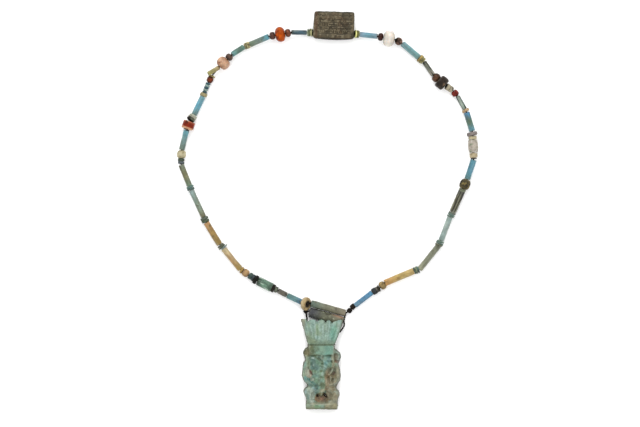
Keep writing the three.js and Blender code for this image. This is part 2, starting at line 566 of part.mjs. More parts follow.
// The figure's shell: a front of rows and columns between its outlines, a back with only the
// outlines' points but for its two end rows, and walls between front and back all round
function figureShell() {
  const columns = FEATHERS * COLUMNS_PER_FEATHER;
  const across = columns + 1;
  const last = FIGURE_ROWS;
  const places = [];
  const addRow = (row, shares, heightAt) => {
    const y = (FIGURE_DRAWN * row) / last;
    const [left, right] = [outlineAt(LEFT_OUTLINE, y), outlineAt(RIGHT_OUTLINE, y)];
    shares.forEach((share) => {
      const x = left + (right - left) * share;
      places.push(FIGURE_SCALE * x, FIGURE_SCALE * y, heightAt(share, x, y));
    });
  };
  const all = Array.from({ length: across }, (_, column) => {
    const feather = Math.min(Math.floor(column / COLUMNS_PER_FEATHER), FEATHERS - 1);
    const within = (column - feather * COLUMNS_PER_FEATHER) / COLUMNS_PER_FEATHER;
    return FEATHER_EDGES[feather] + within * (FEATHER_EDGES[feather + 1] - FEATHER_EDGES[feather]);
  });
  const flat = (share, x, y) => backHeight(y);
  for (let row = 0; row <= last; row += 1) addRow(row, all, frontHeight);
  const backAt = places.length / 3;
  for (let row = 1; row < last; row += 1) addRow(row, [0, 1], flat);
  const footAt = places.length / 3;
  addRow(0, all, flat);
  addRow(last, all, flat);
  const topAt = footAt + across;
  const front = (row, column) => row * across + column;
  const back = (row, side) => {
    if (row === 0) return footAt + side * columns;
    return row === last ? topAt + side * columns : backAt + 2 * (row - 1) + side;
  };
  const faces = [];
  const quad = (a, b, c, d) => faces.push(a, b, c, a, c, d);
  for (let row = 0; row < last; row += 1) {
    for (let column = 0; column < columns; column += 1) {
      quad(front(row, column), front(row, column + 1), front(row + 1, column + 1), front(row + 1, column));
    }
    quad(back(row, 0), front(row, 0), front(row + 1, 0), back(row + 1, 0));
    quad(front(row, columns), back(row, 1), back(row + 1, 1), front(row + 1, columns));
    if (row > 0 && row < last - 1) quad(back(row, 1), back(row, 0), back(row + 1, 0), back(row + 1, 1));
  }
  const middle = columns / 2;
  faces.push(back(1, 1), footAt + middle, back(1, 0), back(last - 1, 0), topAt + middle, back(last - 1, 1));
  for (let column = 0; column < columns; column += 1) {
    const side = column < middle ? 0 : 1;
    const [foot, top] = [footAt + column, topAt + column];
    faces.push(back(1, side), foot + 1, foot, back(last - 1, side), top, top + 1);
    quad(foot, foot + 1, front(0, column + 1), front(0, column));
    quad(top + 1, top, front(last, column), front(last, column + 1));
  }
  return new THREE.BufferGeometry()
    .setAttribute("position", new THREE.BufferAttribute(new Float32Array(places), 3))
    .setIndex(faces);
}

// Openings right through the figure: beside each arm and between the legs
const PIERCINGS = [
  { place: [-5.2, 18.3], half: [0.8, 1.2], turn: 20 },
  { place: [5.7, 18.4], half: [0.6, 0.9], turn: -15 },
  { place: [-1.9, 6.5], half: [0.8, 0.8], turn: 0 },
  { place: [2.3, 6.4], half: [0.6, 1.3], turn: 35 },
];

function figureGeometry() {
  let solid = solidOf(figureShell());
  const pierce = ([x, y], [halfX, halfY], turn, sides) => {
    const cut = new THREE.CylinderGeometry(1, 1, 3 * FIGURE_DEPTH, sides).rotateX(Math.PI / 2);
    cut.scale(halfX, halfY, 1).rotateZ(radians(turn)).translate(FIGURE_SCALE * x, FIGURE_SCALE * y, 0);
    solid = solid.subtract(solidOf(cut));
  };
  const [left, right] = [outlineAt(LEFT_OUTLINE, FIGURE_DRAWN), outlineAt(RIGHT_OUTLINE, FIGURE_DRAWN)];
  for (let k = 1; k < FEATHERS; k += 1) {
    pierce([left + (right - left) * FEATHER_EDGES[k], FIGURE_DRAWN], [NOTCH_R, NOTCH_DEEP], 0, 6);
  }
  PIERCINGS.forEach(({ place, half, turn }) => pierce(place, half, turn, 8));
  const height = CROWN_BACK + LOOP_BITE - LOOP_D / 2;
  const ends = (half) => [-1, 1].map((side) => at([side * half - LOOP_SHIFT, LOOP_Y, height]));
  solid = solid.add(rod(...ends(LOOP_L / 2), LOOP_D / 2, ROUND_SIDES));
  solid = solid.subtract(rod(...ends(LOOP_L), BORE_R, SLIM_SIDES));
  return geometryOf(solid);
}

const layout = new THREE.Group();

const figure = named("bes_figure", figureGeometry(), "faience");
figure.position.set(FIGURE_TOP[0], FIGURE_TOP[1] - FIGURE_H, 0);
layout.add(figure);

// A straight spacer tube between two points
function spacer(name, from, to, diameter, colour) {
  const profile = unitProfile({ beads: [tube(from.distanceTo(to), diameter)] });
  const mesh = named(name, new THREE.LatheGeometry(profile, ROUND_SIDES), colour);
  mesh.applyMatrix4(strungFrame(from, to, from.clone().add(to).multiplyScalar(0.5)));
  layout.add(mesh);
}

const tubeWay = at([Math.cos(radians(SPACER_TURN)), Math.sin(radians(SPACER_TURN))]);
const tubeSide = at([tubeWay.y, -tubeWay.x]); // towards the figure
const upperHalf = tubeWay.clone().multiplyScalar(SPACER_L / 2);
const upperLeft = upperHalf.clone().negate().setZ(SPACER_UPPER_D / 2 + SPACER_LIFT);
const upperRight = upperHalf.clone().setZ(SPACER_UPPER_D / 2);
const lowerOffset = tubeSide
  .clone()
  .multiplyScalar((SPACER_UPPER_D + SPACER_LOWER_D) / 2 + LAY_GAP)
  .addScaledVector(tubeWay, SPACER_LOWER_SHIFT);
const lowerLeft = upperLeft.clone().add(lowerOffset).setZ(SPACER_LOWER_D / 2);
const lowerRight = upperRight.clone().add(lowerOffset).setZ(SPACER_LOWER_D / 2);
spacer("upper_spacer_tube", upperLeft, upperRight, SPACER_UPPER_D, "grey_green");
spacer("lower_spacer_tube", lowerLeft, lowerRight, SPACER_LOWER_D, "grey");

// The cream ring leans with its right face up and stands on its rim
const lean = radians(RING_LEAN);
const ringWay = at([
  Math.cos(lean) * Math.cos(radians(RING_TURN)),
  Math.cos(lean) * Math.sin(radians(RING_TURN)),
  Math.sin(lean),
]);
const ringHeight = (RING_BEAD.diameter * Math.cos(lean) + RING_BEAD.thickness * Math.sin(lean)) / 2;
const ringCentre = at([...RING_AT, ringHeight]);
const ringSide = (side) => [
  [RING_BEAD.bore / 2, (side * RING_BEAD.thickness) / 2 - (side * RING_BEAD.rim) / 3],
  [RING_BEAD.diameter / 2 - RING_BEAD.rim, (side * RING_BEAD.thickness) / 2],
  [RING_BEAD.diameter / 2, (side * RING_BEAD.rim) / 2],
];
const ringProfile = [...ringSide(-1), ...ringSide(1).reverse(), ringSide(-1)[0]];
const ringPoints = ringProfile.map(([r, y]) => new THREE.Vector2(r, y));
const ring = named("cream_ring_bead", new THREE.LatheGeometry(ringPoints, RING_SIDES), "cream");
ring.applyMatrix4(strungFrame(at([0, 0, 0]), ringWay, ringCentre));
layout.add(ring);

// The strand, from the ring's left mouth round to the first knot on the right
const ringMouth = RING_BEAD.thickness / 2 + RING_PLAY;
const strandStart = ringCentre.clone().addScaledVector(ringWay, -ringMouth);
const { joints, gaps } = layStrand(STRAND, strandStart, at(STRAND_END));
STRAND.forEach((unit, k) => {
  const [from, to] = [joints[k], joints[k + 1]];
  const way = to.clone().sub(from).normalize();
  const place = from.clone().addScaledVector(way, gaps[k] + unitLength(unit) / 2);
  if (unit.plaque) {
    const mesh = named(unit.name, plaqueGeometry(), unit.colour);
    const side = new THREE.Vector3(0, 0, 1).cross(way).normalize();
    mesh.applyMatrix4(new THREE.Matrix4().makeBasis(way, side, way.clone().cross(side)).setPosition(place));
    layout.add(mesh);
    return;
  }
  const mesh = named(unit.name, turnedBead(unit), unit.colour);
  mesh.applyMatrix4(strungFrame(from, to, place));
  layout.add(mesh);
});

// The thread: round the ring of beads and back through the upper tube, down to the loop
// behind the crown, and through the lower tube
const loopHeight = CROWN_BACK + LOOP_BITE - LOOP_D / 2;
const onFigure = ([x, y, z = loopHeight]) => at([FIGURE_TOP[0] + x, FIGURE_TOP[1] + y, z]);
const leftMeeting = upperLeft.clone().addScaledVector(tubeWay, -LEFT_MEETING.past).setZ(LEFT_MEETING.height);
const rightMeeting = upperRight.clone().addScaledVector(tubeWay, RIGHT_MEETING);
const lowerEnd = lowerRight.clone().addScaledVector(tubeWay, RIGHT_MEETING);
const knotLeft = at(KNOT_LEFT);
const mainThread = [
  leftMeeting,
  ringCentre.clone().addScaledVector(ringWay, ringMouth),
  strandStart,
  ...joints.slice(1),
  ...KNOTS_RIGHT.map(at),
  rightMeeting,
  upperRight,
  upperLeft,
  leftMeeting,
];
const pendantThread = [
  leftMeeting,
  at(UNDER_RING),
  knotLeft,
  ...LEFT_OF_CROWN.map(onFigure),
  onFigure([-LOOP_L / 2 - LOOP_MOUTHS[0], LOOP_Y - FIGURE_H]),
  onFigure([LOOP_L / 2 + LOOP_MOUTHS[1], LOOP_Y - FIGURE_H]),
  ...RIGHT_OF_CROWN.map(onFigure),
  lowerEnd,
  rightMeeting,
];
const lowerThread = [knotLeft, lowerLeft, lowerRight, lowerEnd];
const thread = [
  threadAlong(mainThread),
  threadAlong(pendantThread),
  threadAlong(lowerThread),
  ...[KNOT_LEFT, ...KNOTS_RIGHT].map(knot),
].reduce((all, part) => all.add(part));
layout.add(named("stringing_thread", geometryOf(thread), "thread"));

// The origin goes to the middle of the whole necklace, on the surface
const necklace = new THREE.Group();
necklace.add(layout);
necklace.updateMatrixWorld(true);
const extent = new THREE.Box3().setFromObject(necklace, true);
const middle = extent.getCenter(new THREE.Vector3());
layout.position.set(-middle.x, -middle.y, -extent.min.z);

export default necklace;
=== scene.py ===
"""A bead necklace with a Bes figure as its pendant, laid flat in a ring and seen from above."""

import bpy
import numpy as np
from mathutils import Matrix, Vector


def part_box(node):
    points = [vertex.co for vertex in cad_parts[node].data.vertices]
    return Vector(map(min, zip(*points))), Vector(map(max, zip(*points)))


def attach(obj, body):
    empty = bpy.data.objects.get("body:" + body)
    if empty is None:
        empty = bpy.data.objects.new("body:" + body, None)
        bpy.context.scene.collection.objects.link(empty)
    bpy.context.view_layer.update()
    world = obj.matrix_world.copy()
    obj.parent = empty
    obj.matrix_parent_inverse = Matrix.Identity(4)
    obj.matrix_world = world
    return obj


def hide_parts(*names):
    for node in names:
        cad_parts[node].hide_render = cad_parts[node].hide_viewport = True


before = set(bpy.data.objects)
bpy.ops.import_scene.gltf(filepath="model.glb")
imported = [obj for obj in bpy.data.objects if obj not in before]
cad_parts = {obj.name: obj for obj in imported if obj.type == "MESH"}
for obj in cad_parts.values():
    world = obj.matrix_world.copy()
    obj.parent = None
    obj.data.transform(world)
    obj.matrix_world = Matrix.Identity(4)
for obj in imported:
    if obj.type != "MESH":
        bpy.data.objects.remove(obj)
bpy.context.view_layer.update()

# The Bes figure. One piece of moulded faience, turquoise where its glaze is left and brown where it is
# worn off. It lies on its flat back, its crown over the lower spacer tube. Its places are millimetres
# from its axis and its base, and its heights are over the surface that it lies on.

mm = 0.001
figure_height = 45.3
axis_from_left = 10.4
figure_low = np.array(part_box("bes_figure")[0]) / mm
figure_home = np.array([figure_low[0] + axis_from_left, figure_low[1], 0.0])
left_edge = np.array(
    [[0, -7.8], [2.7, -7.75], [4.6, -7.5], [5.8, -7.75], [7.75, -8.5], [9.0, -9.0], [10.1, -8.5],
     [11.6, -7.25], [12.6, -7.5], [14.0, -8.6], [15.3, -9.2], [17.0, -9.75], [19.0, -9.55], [21.0, -9.3],
     [23.0, -9.1], [24.6, -8.1], [25.6, -8.2], [27.1, -8.95], [28.6, -9.15], [30.0, -8.4], [31.1, -6.9],
     [33.0, -6.85], [45.3, -10.4]]
)
right_edge = np.array(
    [[0, 8.0], [2.0, 8.2], [5.0, 8.35], [7.4, 9.15], [8.6, 8.95], [10.6, 7.6], [11.8, 7.8], [13.2, 8.6],
     [14.6, 9.45], [16.4, 9.7], [18.5, 9.45], [20.5, 9.15], [22.6, 8.55], [23.4, 8.8], [24.6, 9.4],
     [26.4, 9.85], [28.0, 9.5], [29.2, 8.1], [30.4, 6.65], [31.6, 6.7], [33.0, 6.95], [35.0, 7.7],
     [37.1, 8.6], [39.2, 9.35], [41.2, 10.0], [45.3, 10.8]]
)
feather_tips = np.array(
    [[-10.4, 45.0], [-9.4, 45.2], [-7.7, 45.1], [-6.85, 43.8], [-6.0, 44.5], [-4.5, 44.8], [-3.1, 44.7],
     [-2.15, 43.7], [-1.2, 44.6], [0.2, 44.8], [1.4, 44.5], [2.15, 43.4], [2.9, 44.3], [3.8, 44.5],
     [4.6, 44.1], [5.35, 43.0], [6.2, 43.8], [8.6, 44.5], [10.6, 44.7]]
)
feather_edges = np.array([0, 0.153, 0.374, 0.576, 0.727, 1])
crown_foot = 32.4
crown_start = 33
crown_back = 4.6
crown_front = 7.2


def step(low, high, value):
    """Runs smoothly from 0 at one bound to 1 at the other, also where the bounds are reversed."""
    share = np.clip((value - low) / (high - low), 0, 1)
    return share * share * (3 - 2 * share)


def span(value, low, inner_low, inner_high, high):
    """Runs from 0 to 1 between the first two bounds, and back to 0 between the last two."""
    return step(low, inner_low, value) * step(high, inner_high, value)


def line(value, width):
    """A bell curve: 1 on a line, falling off smoothly to both sides of it over that width."""
    return np.exp(-((value / width) ** 2))


def grain(places, size, seed):
    """Smooth random numbers from -1 to 1 in space: random values on a lattice whose cells have that
    size, blended between the eight corners of a cell with smooth weights."""
    table = np.random.default_rng(seed).uniform(-1, 1, (32, 32, 32))
    place = places / size
    corner = np.floor(place).astype(int)
    share = place - corner
    share = share * share * (3 - 2 * share)
    total = 0
    for offset in np.ndindex(2, 2, 2):
        weight = np.prod(np.where(offset, share, 1 - share), axis=-1)
        x, y, z = np.moveaxis((corner + offset) % 32, -1, 0)
        total = total + weight * table[x, y, z]
    return total


def upper(a, b, width=0.5):
    """The larger of two heights, with the crease between them filled over that width."""
    near = np.maximum(width - np.abs(a - b), 0) / width
    return np.maximum(a, b) + near * near * width / 4


def edge_at(edge, y):
    """Where an outline is at a height: it swings smoothly between its points, and is straight on
    the crown."""
    after = np.clip(np.searchsorted(edge[:, 0], y), 1, len(edge) - 1)
    (y0, x0), (y1, x1) = np.moveaxis(edge[after - 1], -1, 0), np.moveaxis(edge[after], -1, 0)
    share = np.clip((y - y0) / (y1 - y0), 0, 1)
    return x0 + (x1 - x0) * np.where(y0 < crown_start, share * share * (3 - 2 * share), share)


def line_distance(x, y, points):
    """Distance from each place to a line of straight stretches, and how far along it that is, from
    0 to 1."""
    nearest = np.full(np.shape(x), np.inf)
    along = np.zeros(np.shape(x))
    for k, ((ax, ay), (bx, by)) in enumerate(zip(points[:-1], points[1:])):
        t = np.clip(((x - ax) * (bx - ax) + (y - ay) * (by - ay)) / ((bx - ax) ** 2 + (by - ay) ** 2), 0, 1)
        distance = np.hypot(x - ax - t * (bx - ax), y - ay - t * (by - ay))
        closer = distance < nearest
        nearest = np.where(closer, distance, nearest)
        along = np.where(closer, (k + t) / (len(points) - 1), along)
    return nearest, along


def in_ellipse(x, y, centre, radii, turn=0):
    """Places measured in the two radii of an ellipse that is turned by degrees."""
    c, s = np.cos(np.radians(turn)), np.sin(np.radians(turn))
    dx, dy = x - centre[0], y - centre[1]
    return (c * dx + s * dy) / radii[0], (c * dy - s * dx) / radii[1]


def swelling(q, foot, top, fullness):
    """A height that rises from its foot, where q is 1, to its top, where q is 0, with a power of 1 - q:
    the smaller the power, the fuller the form."""
    return np.where(q < 1, foot + (top - foot) * np.maximum(1 - q, 0) ** fullness, 0)


def dome(x, y, centre, radii, foot, top, turn=0, fullness=0.6):
    """A swelling over an ellipse, by the squared distance from its centre in radii."""
    u, v = in_ellipse(x, y, centre, radii, turn)
    return swelling(u**2 + v**2, foot, top, fullness)


def limb(x, y, points, radii, foot, top, fullness=0.5):
    """A swelling along a line, by the squared distance from it in radii, which run from the first to
    the last along the line."""
    distance, along = line_distance(x, y, points)
    radius = np.interp(along, np.linspace(0, 1, len(radii)), radii)
    return swelling((distance / radius) ** 2, foot, top, fullness)


def forehead_band(x, y):
    """The flat band over the forehead: level inside its soft edges, and bent back a little sideways."""
    return 7.9 * step(7.4, 6.0, np.abs(x + 0.1)) * step(26.3, 27.1, y + 0.1 * np.sin(x)) - 0.02 * x**2


def body_relief(x, y):
    """Front heights of the body below the crown: forms laid over each other, then hollows and lines
    cut in, and the plinth under the feet."""
    height = np.full(x.shape, 4.0)
    forms = [
        (dome, (-0.4, 14.6), (4.6, 7.4), 4.4, 7.4),
        (dome, (-0.3, 14.0), (3.1, 3.4), 5.2, 7.8),
        (dome, (-0.3, 24.8), (7.5, 8.9), 4.4, 7.3),
        (dome, (-0.3, 23.2), (5.5, 6.6), 6.0, 8.0, 0, 0.45),
        (forehead_band,),
        (limb, [(-7.4, 28.2), (-7.1, 24.5), (-6.3, 21.8), (-4.9, 19.6), (-3.9, 18.0)],
         (1.1, 1.0, 0.9, 0.6), 4.6, 6.8),
        (limb, [(5.95, 31.4), (5.95, 26.0), (5.9, 20.8), (5.0, 18.6), (3.4, 17.0)],
         (0.8, 0.8, 0.8, 0.6), 4.8, 7.3),
        (dome, (-3.9, 25.5), (1.7, 0.95), 6.6, 8.3, -12),
        (dome, (3.8, 24.9), (1.7, 1.1), 6.6, 8.3, 10),
        (limb, [(0.2, 26.8), (0.3, 24.2)], (0.7, 1.2), 6.5, 8.7),
        (dome, (0.5, 23.6), (2.0, 1.1), 6.5, 8.9),
        (dome, (-3.2, 22.4), (2.2, 1.9), 6.5, 8.5, 25),
        (dome, (3.7, 22.2), (2.1, 1.9), 6.5, 8.5, -25),
        (limb, [(-2.6, 21.3), (-0.3, 22.2), (2.4, 21.3)], (0.7, 0.9, 0.7), 6.5, 8.6),
        (dome, (0.5, 19.9), (1.8, 1.4), 6.5, 8.4),
        (dome, (0.0, 18.4), (3.6, 2.6), 6.2, 8.1),
        (dome, (-7.9, 28.4), (1.9, 2.4), 3.9, 6.5, 0, 0.4),
        (dome, (7.9, 26.6), (2.6, 3.2), 3.9, 6.7, -12, 0.4),
        (limb, [(-7.3, 23.6), (-8.35, 20.6), (-8.45, 17.4), (-7.7, 14.4), (-5.2, 12.6), (-2.7, 11.3)],
         (1.5, 1.75, 1.7, 1.6, 1.4, 1.1), 3.9, 7.3),
        (limb, [(7.2, 23.2), (8.2, 20.6), (8.5, 18.0), (7.9, 15.0), (6.0, 12.8), (3.9, 11.9)],
         (1.5, 1.75, 1.7, 1.6, 1.4, 1.1), 3.9, 7.3),
        (limb, [(-2.9, 10.9), (-5.4, 10.2), (-7.1, 8.9), (-6.7, 6.2), (-5.9, 3.9)],
         (1.7, 2.3, 2.2, 1.9, 1.7), 3.9, 7.6),
        (limb, [(2.9, 10.8), (5.6, 9.7), (7.4, 8.2), (7.1, 6.0), (6.3, 3.9)],
         (1.7, 2.3, 2.2, 2.0, 1.8), 3.9, 7.6),
        (dome, (0.1, 10.6), (5.0, 1.9), 5.0, 7.4),
        (limb, [(0.5, 10.0), (0.2, 8.3), (-0.1, 7.2)], (0.9, 0.8, 0.6), 3.0, 6.9),
        (dome, (-5.2, 3.7), (2.8, 1.4), 5.0, 7.6),
        (dome, (5.6, 3.6), (2.8, 1.4), 5.0, 7.6),
        (limb, [(4.3, 18.2), (4.7, 16.2), (4.6, 14.0)], (0.8, 1.1, 0.8), 4.2, 6.8),
        (dome, (-5.7, 18.0), (2.6, 3.4), 4.4, 6.1),
        (dome, (5.9, 17.4), (2.4, 3.4), 4.4, 6.0),
    ]
    for form, *values in forms:
        height = upper(height, form(x, y, *values))
    hollows = [
        ((-5.3, 18.2), (1.1, 1.7), 20, 0.35),
        ((5.9, 17.6), (1.1, 1.6), -20, 0.5),
        ((3.7, 14.8), (0.5, 1.2), 12, 0.6),
        ((5.5, 14.6), (0.5, 1.2), -12, 0.6),
        ((0.1, 5.7), (3.1, 2.5), 0, 1.2),
        ((7.1, 26.5), (1.2, 1.5), -12, 0.9),
        ((-7.9, 28.4), (0.8, 1.2), 0, 1.0),
        ((7.5, 24.0), (0.9, 0.6), -30, 1.0),
        ((-1.1, 25.4), (0.6, 0.8), 30, 0.8),
        ((0.4, 25.9), (0.7, 0.5), 0, 0.7),
    ]
    for *ellipse, depth in hollows:
        u, v = in_ellipse(x, y, *ellipse)
        height = height - depth * step(1.1, 0.3, u**4 + v**4)
    grooves = [
        ([(-6.6, 32.2), (6.6, 32.2)], 0.4, 0.9),
        ([(-5.2, 26.7), (-0.9, 26.4)], 0.3, 0.4),
        ([(0.9, 26.3), (5.2, 26.6)], 0.3, 0.4),
        ([(-5.0, 24.9), (-3.6, 24.3), (-2.2, 24.8)], 0.25, 0.35),
        ([(2.3, 24.1), (3.8, 23.5), (5.1, 24.2)], 0.25, 0.35),
        ([(-0.6, 25.0), (0.4, 24.0), (2.2, 22.8), (2.8, 21.2)], 0.3, 0.55),
        ([(-1.7, 24.5), (-2.0, 23.4), (-1.0, 22.9)], 0.25, 0.3),
        ([(-3.2, 21.2), (-1.4, 21.6), (-0.4, 21.4)], 0.28, 0.4),
        ([(-0.8, 22.0), (0.5, 20.6), (1.5, 19.4)], 0.3, 0.6),
        ([(-4.9, 23.8), (-4.7, 21.6), (-3.4, 19.4)], 0.3, 0.4),
        ([(5.0, 24.6), (4.9, 21.4), (3.7, 19.2)], 0.3, 0.5),
        ([(-2.6, 19.8), (-1.9, 17.0)], 0.25, 0.3),
        ([(-1.0, 19.4), (-0.8, 16.6)], 0.25, 0.3),
        ([(2.2, 19.2), (1.6, 16.8)], 0.25, 0.35),
        ([(-5.2, 12.2), (-3.9, 10.4), (-1.6, 9.6)], 0.3, 0.5),
        ([(5.0, 12.0), (3.8, 10.4), (1.8, 9.6)], 0.3, 0.4),
        ([(-3.4, 12.3), (-2.2, 11.1)], 0.2, 0.25),
        ([(-9.2, 11.4), (-6.6, 11.6), (-4.8, 11.2)], 0.32, 0.6),
        ([(8.6, 11.2), (6.9, 11.4), (5.0, 10.9)], 0.32, 0.5),
        ([(-8.4, 4.9), (-5.8, 5.3), (-3.9, 4.9)], 0.25, 0.3),
        ([(8.6, 4.9), (6.2, 5.3), (4.1, 4.9)], 0.25, 0.3),
    ]
    for points, width, depth in grooves:
        distance, along = line_distance(x, y, points)
        fade = np.minimum(1, 6 * np.minimum(along, 1 - along) + 0.25)
        height = height - depth * fade * line(distance, width)
    plinth = 7.2 - 0.5 * step(0.5, 0, y)
    return upper(height, plinth * step(3.4, 2.8, y), 0.3)


def ribs(x, y):
    """The crown's upright ribs, two on each feather: 1 on top of a rib and 0 between two of them, and
    the deeper lines between feathers as 1."""
    left, right = edge_at(left_edge, y), edge_at(right_edge, y)
    across = np.clip((x - left) / (right - left), 0, 0.9999)
    feather = np.searchsorted(feather_edges, across, side="right") - 1
    share = (across - feather_edges[feather]) / np.diff(feather_edges)[feather]
    return np.abs(np.sin(2 * np.pi * share)) ** 0.8, line(np.minimum(share, 1 - share), 0.09)


def crown_relief(x, y):
    """Front heights of the crown: its ribs rise from a smooth foot to rounded worn tips."""
    rib, valley = ribs(x, y)
    fade = step(crown_foot, crown_foot + 3.2, y)
    worn = step(1.6, 0, np.interp(x, *feather_tips.T) - y)
    return crown_front - fade * (0.5 * (1 - rib) + 0.2 * valley) - 0.5 * worn


def lattice(low, high, cell_size):
    """The places of a lattice that fills a box: two flat grids of x and y, and a row of heights."""
    x, y, heights = (
        low[k] + cell_size * np.arange(np.ceil((high[k] - low[k]) / cell_size)) for k in range(3)
    )
    return *np.meshgrid(x, y, indexing="ij"), heights


def shifted(grid, *shifts):
    """The mean of a grid's neighbours that lie at the given numbers of cells away."""
    return sum(np.roll(grid, shift, (0, 1)) for shift in shifts) / len(shifts)


def roughen(field, flat_x, flat_y, heights, reach, worn, waves, pitted):
    """Makes a field uneven within a reach of its surface: all worn back by a little, waves of a given
    height, size and seed, and pits of a given size and seed where the noise is above a bound."""
    near = np.abs(field) < reach
    points = np.stack(np.broadcast_arrays(flat_x[..., None], flat_y[..., None], heights), axis=-1)[near]
    size, seed, bound = pitted
    uneven = sum(height * grain(points, size, seed) for height, size, seed in waves)
    field[near] += worn + uneven + 0.5 * np.maximum(grain(points, size, seed) - bound, 0)


def skin(field, low, cell_size):
    """The surface where a field on a lattice is zero, with the field negative inside. Each cell that
    it crosses has one vertex, at the mean of its crossings with the cell's edges, and each lattice
    edge that it crosses has one quad, between the four cells around that edge."""
    sums = np.zeros((*(np.array(field.shape) - 1), 4))
    rings = []
    for axis in range(3):
        others = [k for k in range(3) if k != axis]
        rows = np.moveaxis(field, axis, 0)
        found = np.argwhere((rows[:-1] < 0) != (rows[1:] < 0))
        before, after = rows[:-1][tuple(found.T)], rows[1:][tuple(found.T)]
        corner = np.empty_like(found)
        corner[:, [axis, *others]] = found
        crossing = np.append(corner.astype(float), np.ones((len(corner), 1)), axis=1)
        crossing[:, axis] += before / (before - after)
        u, v = np.eye(3, dtype=int)[others]
        ring = np.stack([corner, corner - u, corner - u - v, corner - v], axis=1)
        for cell in np.moveaxis(ring, 1, 0):
            np.add.at(sums, tuple(cell.T), crossing)
        turned_round = (before > 0) != (axis == 1)
        ring[turned_round] = ring[turned_round][:, ::-1]
        rings.append(ring)
    used = sums[..., 3] > 0
    number = np.cumsum(used).reshape(used.shape) - 1
    quads = number[tuple(np.moveaxis(np.concatenate(rings), -1, 0))]
    places = sums[used][:, :3] / sums[used][:, 3:]
    return np.array(low) + places * cell_size, quads


def looked_up(grid, places, low, cell_size):
    """A flat grid's numbers in the cells that places lie in."""
    cell = ((places[:, :2] - low[:2]) / cell_size).astype(int)
    return grid[tuple(np.clip(cell, 0, np.array(grid.shape) - 1).T)]


dimming = 0.55


def linear(colour):
    """A colour as seen under the bright studio light, in steps from 0 to 255, as the share of light
    that the surface throws back. The dimming takes off what the bright light adds."""
    value = np.array(colour) / 255
    return dimming * np.where(value <= 0.04045, value / 12.92, ((value + 0.055) / 1.055) ** 2.4)


def mixed(a, b, share):
    """One colour turned into another by a share at each place."""
    share = np.clip(share, 0, 1)[..., None]
    return a * (1 - share) + b * share


def layered(tint, *layers):
    """A tint with further colours laid over it in turn, each by its share at each place."""
    for colour, share in layers:
        tint = mixed(tint, linear(colour), share)
    return tint


def piece(name, places, quads, material, node, tint):
    """A smooth mesh piece that stands for a CAD node: places in millimetres, faces of four corners,
    and a colour at each place."""
    mesh = bpy.data.meshes.new(name)
    mesh.vertices.add(len(places))
    mesh.vertices.foreach_set("co", (places * mm).astype(np.float32).ravel())
    mesh.loops.add(quads.size)
    mesh.loops.foreach_set("vertex_index", quads.astype(np.int32).ravel())
    mesh.polygons.add(len(quads))
    mesh.polygons.foreach_set("loop_start", np.arange(0, quads.size, 4, dtype=np.int32))
    mesh.update(calc_edges=True)
    mesh.shade_smooth()
    colours = mesh.color_attributes.new("tint", "FLOAT_COLOR", "POINT")
    opaque = np.append(tint, np.ones((len(tint), 1)), axis=1)
    colours.data.foreach_set("color", opaque.astype(np.float32).ravel())
    mesh.materials.append(material)
    made = bpy.data.objects.new(name, mesh)
    bpy.context.scene.collection.objects.link(made)
    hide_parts(node)
    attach(made, "root")


def add(tree, kind, sockets, **properties):
    """A shader node with its properties. A socket that is given another socket is linked to it."""
    made = tree.nodes.new(kind)
    for name, value in properties.items():
        setattr(made, name, value)
    for name, value in sockets.items():
        if isinstance(value, bpy.types.NodeSocket):
            tree.links.new(value, made.inputs[name])
        else:
            made.inputs[name].default_value = value
    return made


def arithmetic(tree, how, *values):
    """The result of one step of arithmetic, of the kind that is named."""
    return add(tree, "ShaderNodeMath", dict(enumerate(values)), operation=how).outputs[0]


def ramp(tree, value, low, high, at_low, at_high):
    """A number that runs smoothly from one value to another as its input passes two bounds."""
    sockets = {"Value": value, "From Min": low, "From Max": high, "To Min": at_low, "To Max": at_high}
    return add(tree, "ShaderNodeMapRange", sockets, interpolation_type="SMOOTHSTEP").outputs["Result"]


def blend(tree, share, a, b, how="MIX"):
    """Two colours mixed by a share."""
    made = add(tree, "ShaderNodeMix", {0: share, 6: a, 7: b}, data_type="RGBA", blend_type=how)
    return made.outputs[2]


def brightened(tree, colour, light):
    """A colour made lighter or darker by a number."""
    grey = add(tree, "ShaderNodeCombineColor", {0: light, 1: light, 2: light}).outputs[0]
    return blend(tree, 1.0, colour, grey, "MULTIPLY")


def noise(tree, coords, size, detail=4.0, rough=0.55):
    """Cloudy noise whose features have about that size in millimetres."""
    sockets = {"Vector": coords, "Scale": 1 / (size * mm), "Detail": detail, "Roughness": rough}
    return add(tree, "ShaderNodeTexNoise", sockets).outputs["Fac"]


def pits(tree, coords, size, share):
    """Round pits of about that size in millimetres, as 1 in a pit and 0 elsewhere."""
    sockets = {"Vector": coords, "Scale": 1 / (size * mm), "Randomness": 1.0}
    near = add(tree, "ShaderNodeTexVoronoi", sockets, feature="F1").outputs["Distance"]
    return ramp(tree, near, 0.10, share, 1.0, 0.0)


def tinted(name, sheen):
    """A new material with that sheen, its shader, the object's own places and the piece's own tint."""
    made = bpy.data.materials.new(name)
    made.use_nodes = True
    tree = made.node_tree
    shader = tree.nodes["Principled BSDF"]
    shader.inputs["Specular IOR Level"].default_value = sheen
    coords = add(tree, "ShaderNodeTexCoord", {}).outputs["Object"]
    tint = add(tree, "ShaderNodeAttribute", {}, attribute_name="tint").outputs["Color"]
    return made, tree, shader, coords, tint


def surface(tree, shader, colour, roughness, relief, strength, depth):
    """Joins a colour, a roughness and a bump of a depth in millimetres to the shader."""
    tree.links.new(colour, shader.inputs["Base Color"])
    tree.links.new(roughness, shader.inputs["Roughness"])
    bump = add(tree, "ShaderNodeBump", {"Height": relief, "Strength": strength, "Distance": depth * mm})
    tree.links.new(bump.outputs[0], shader.inputs["Normal"])


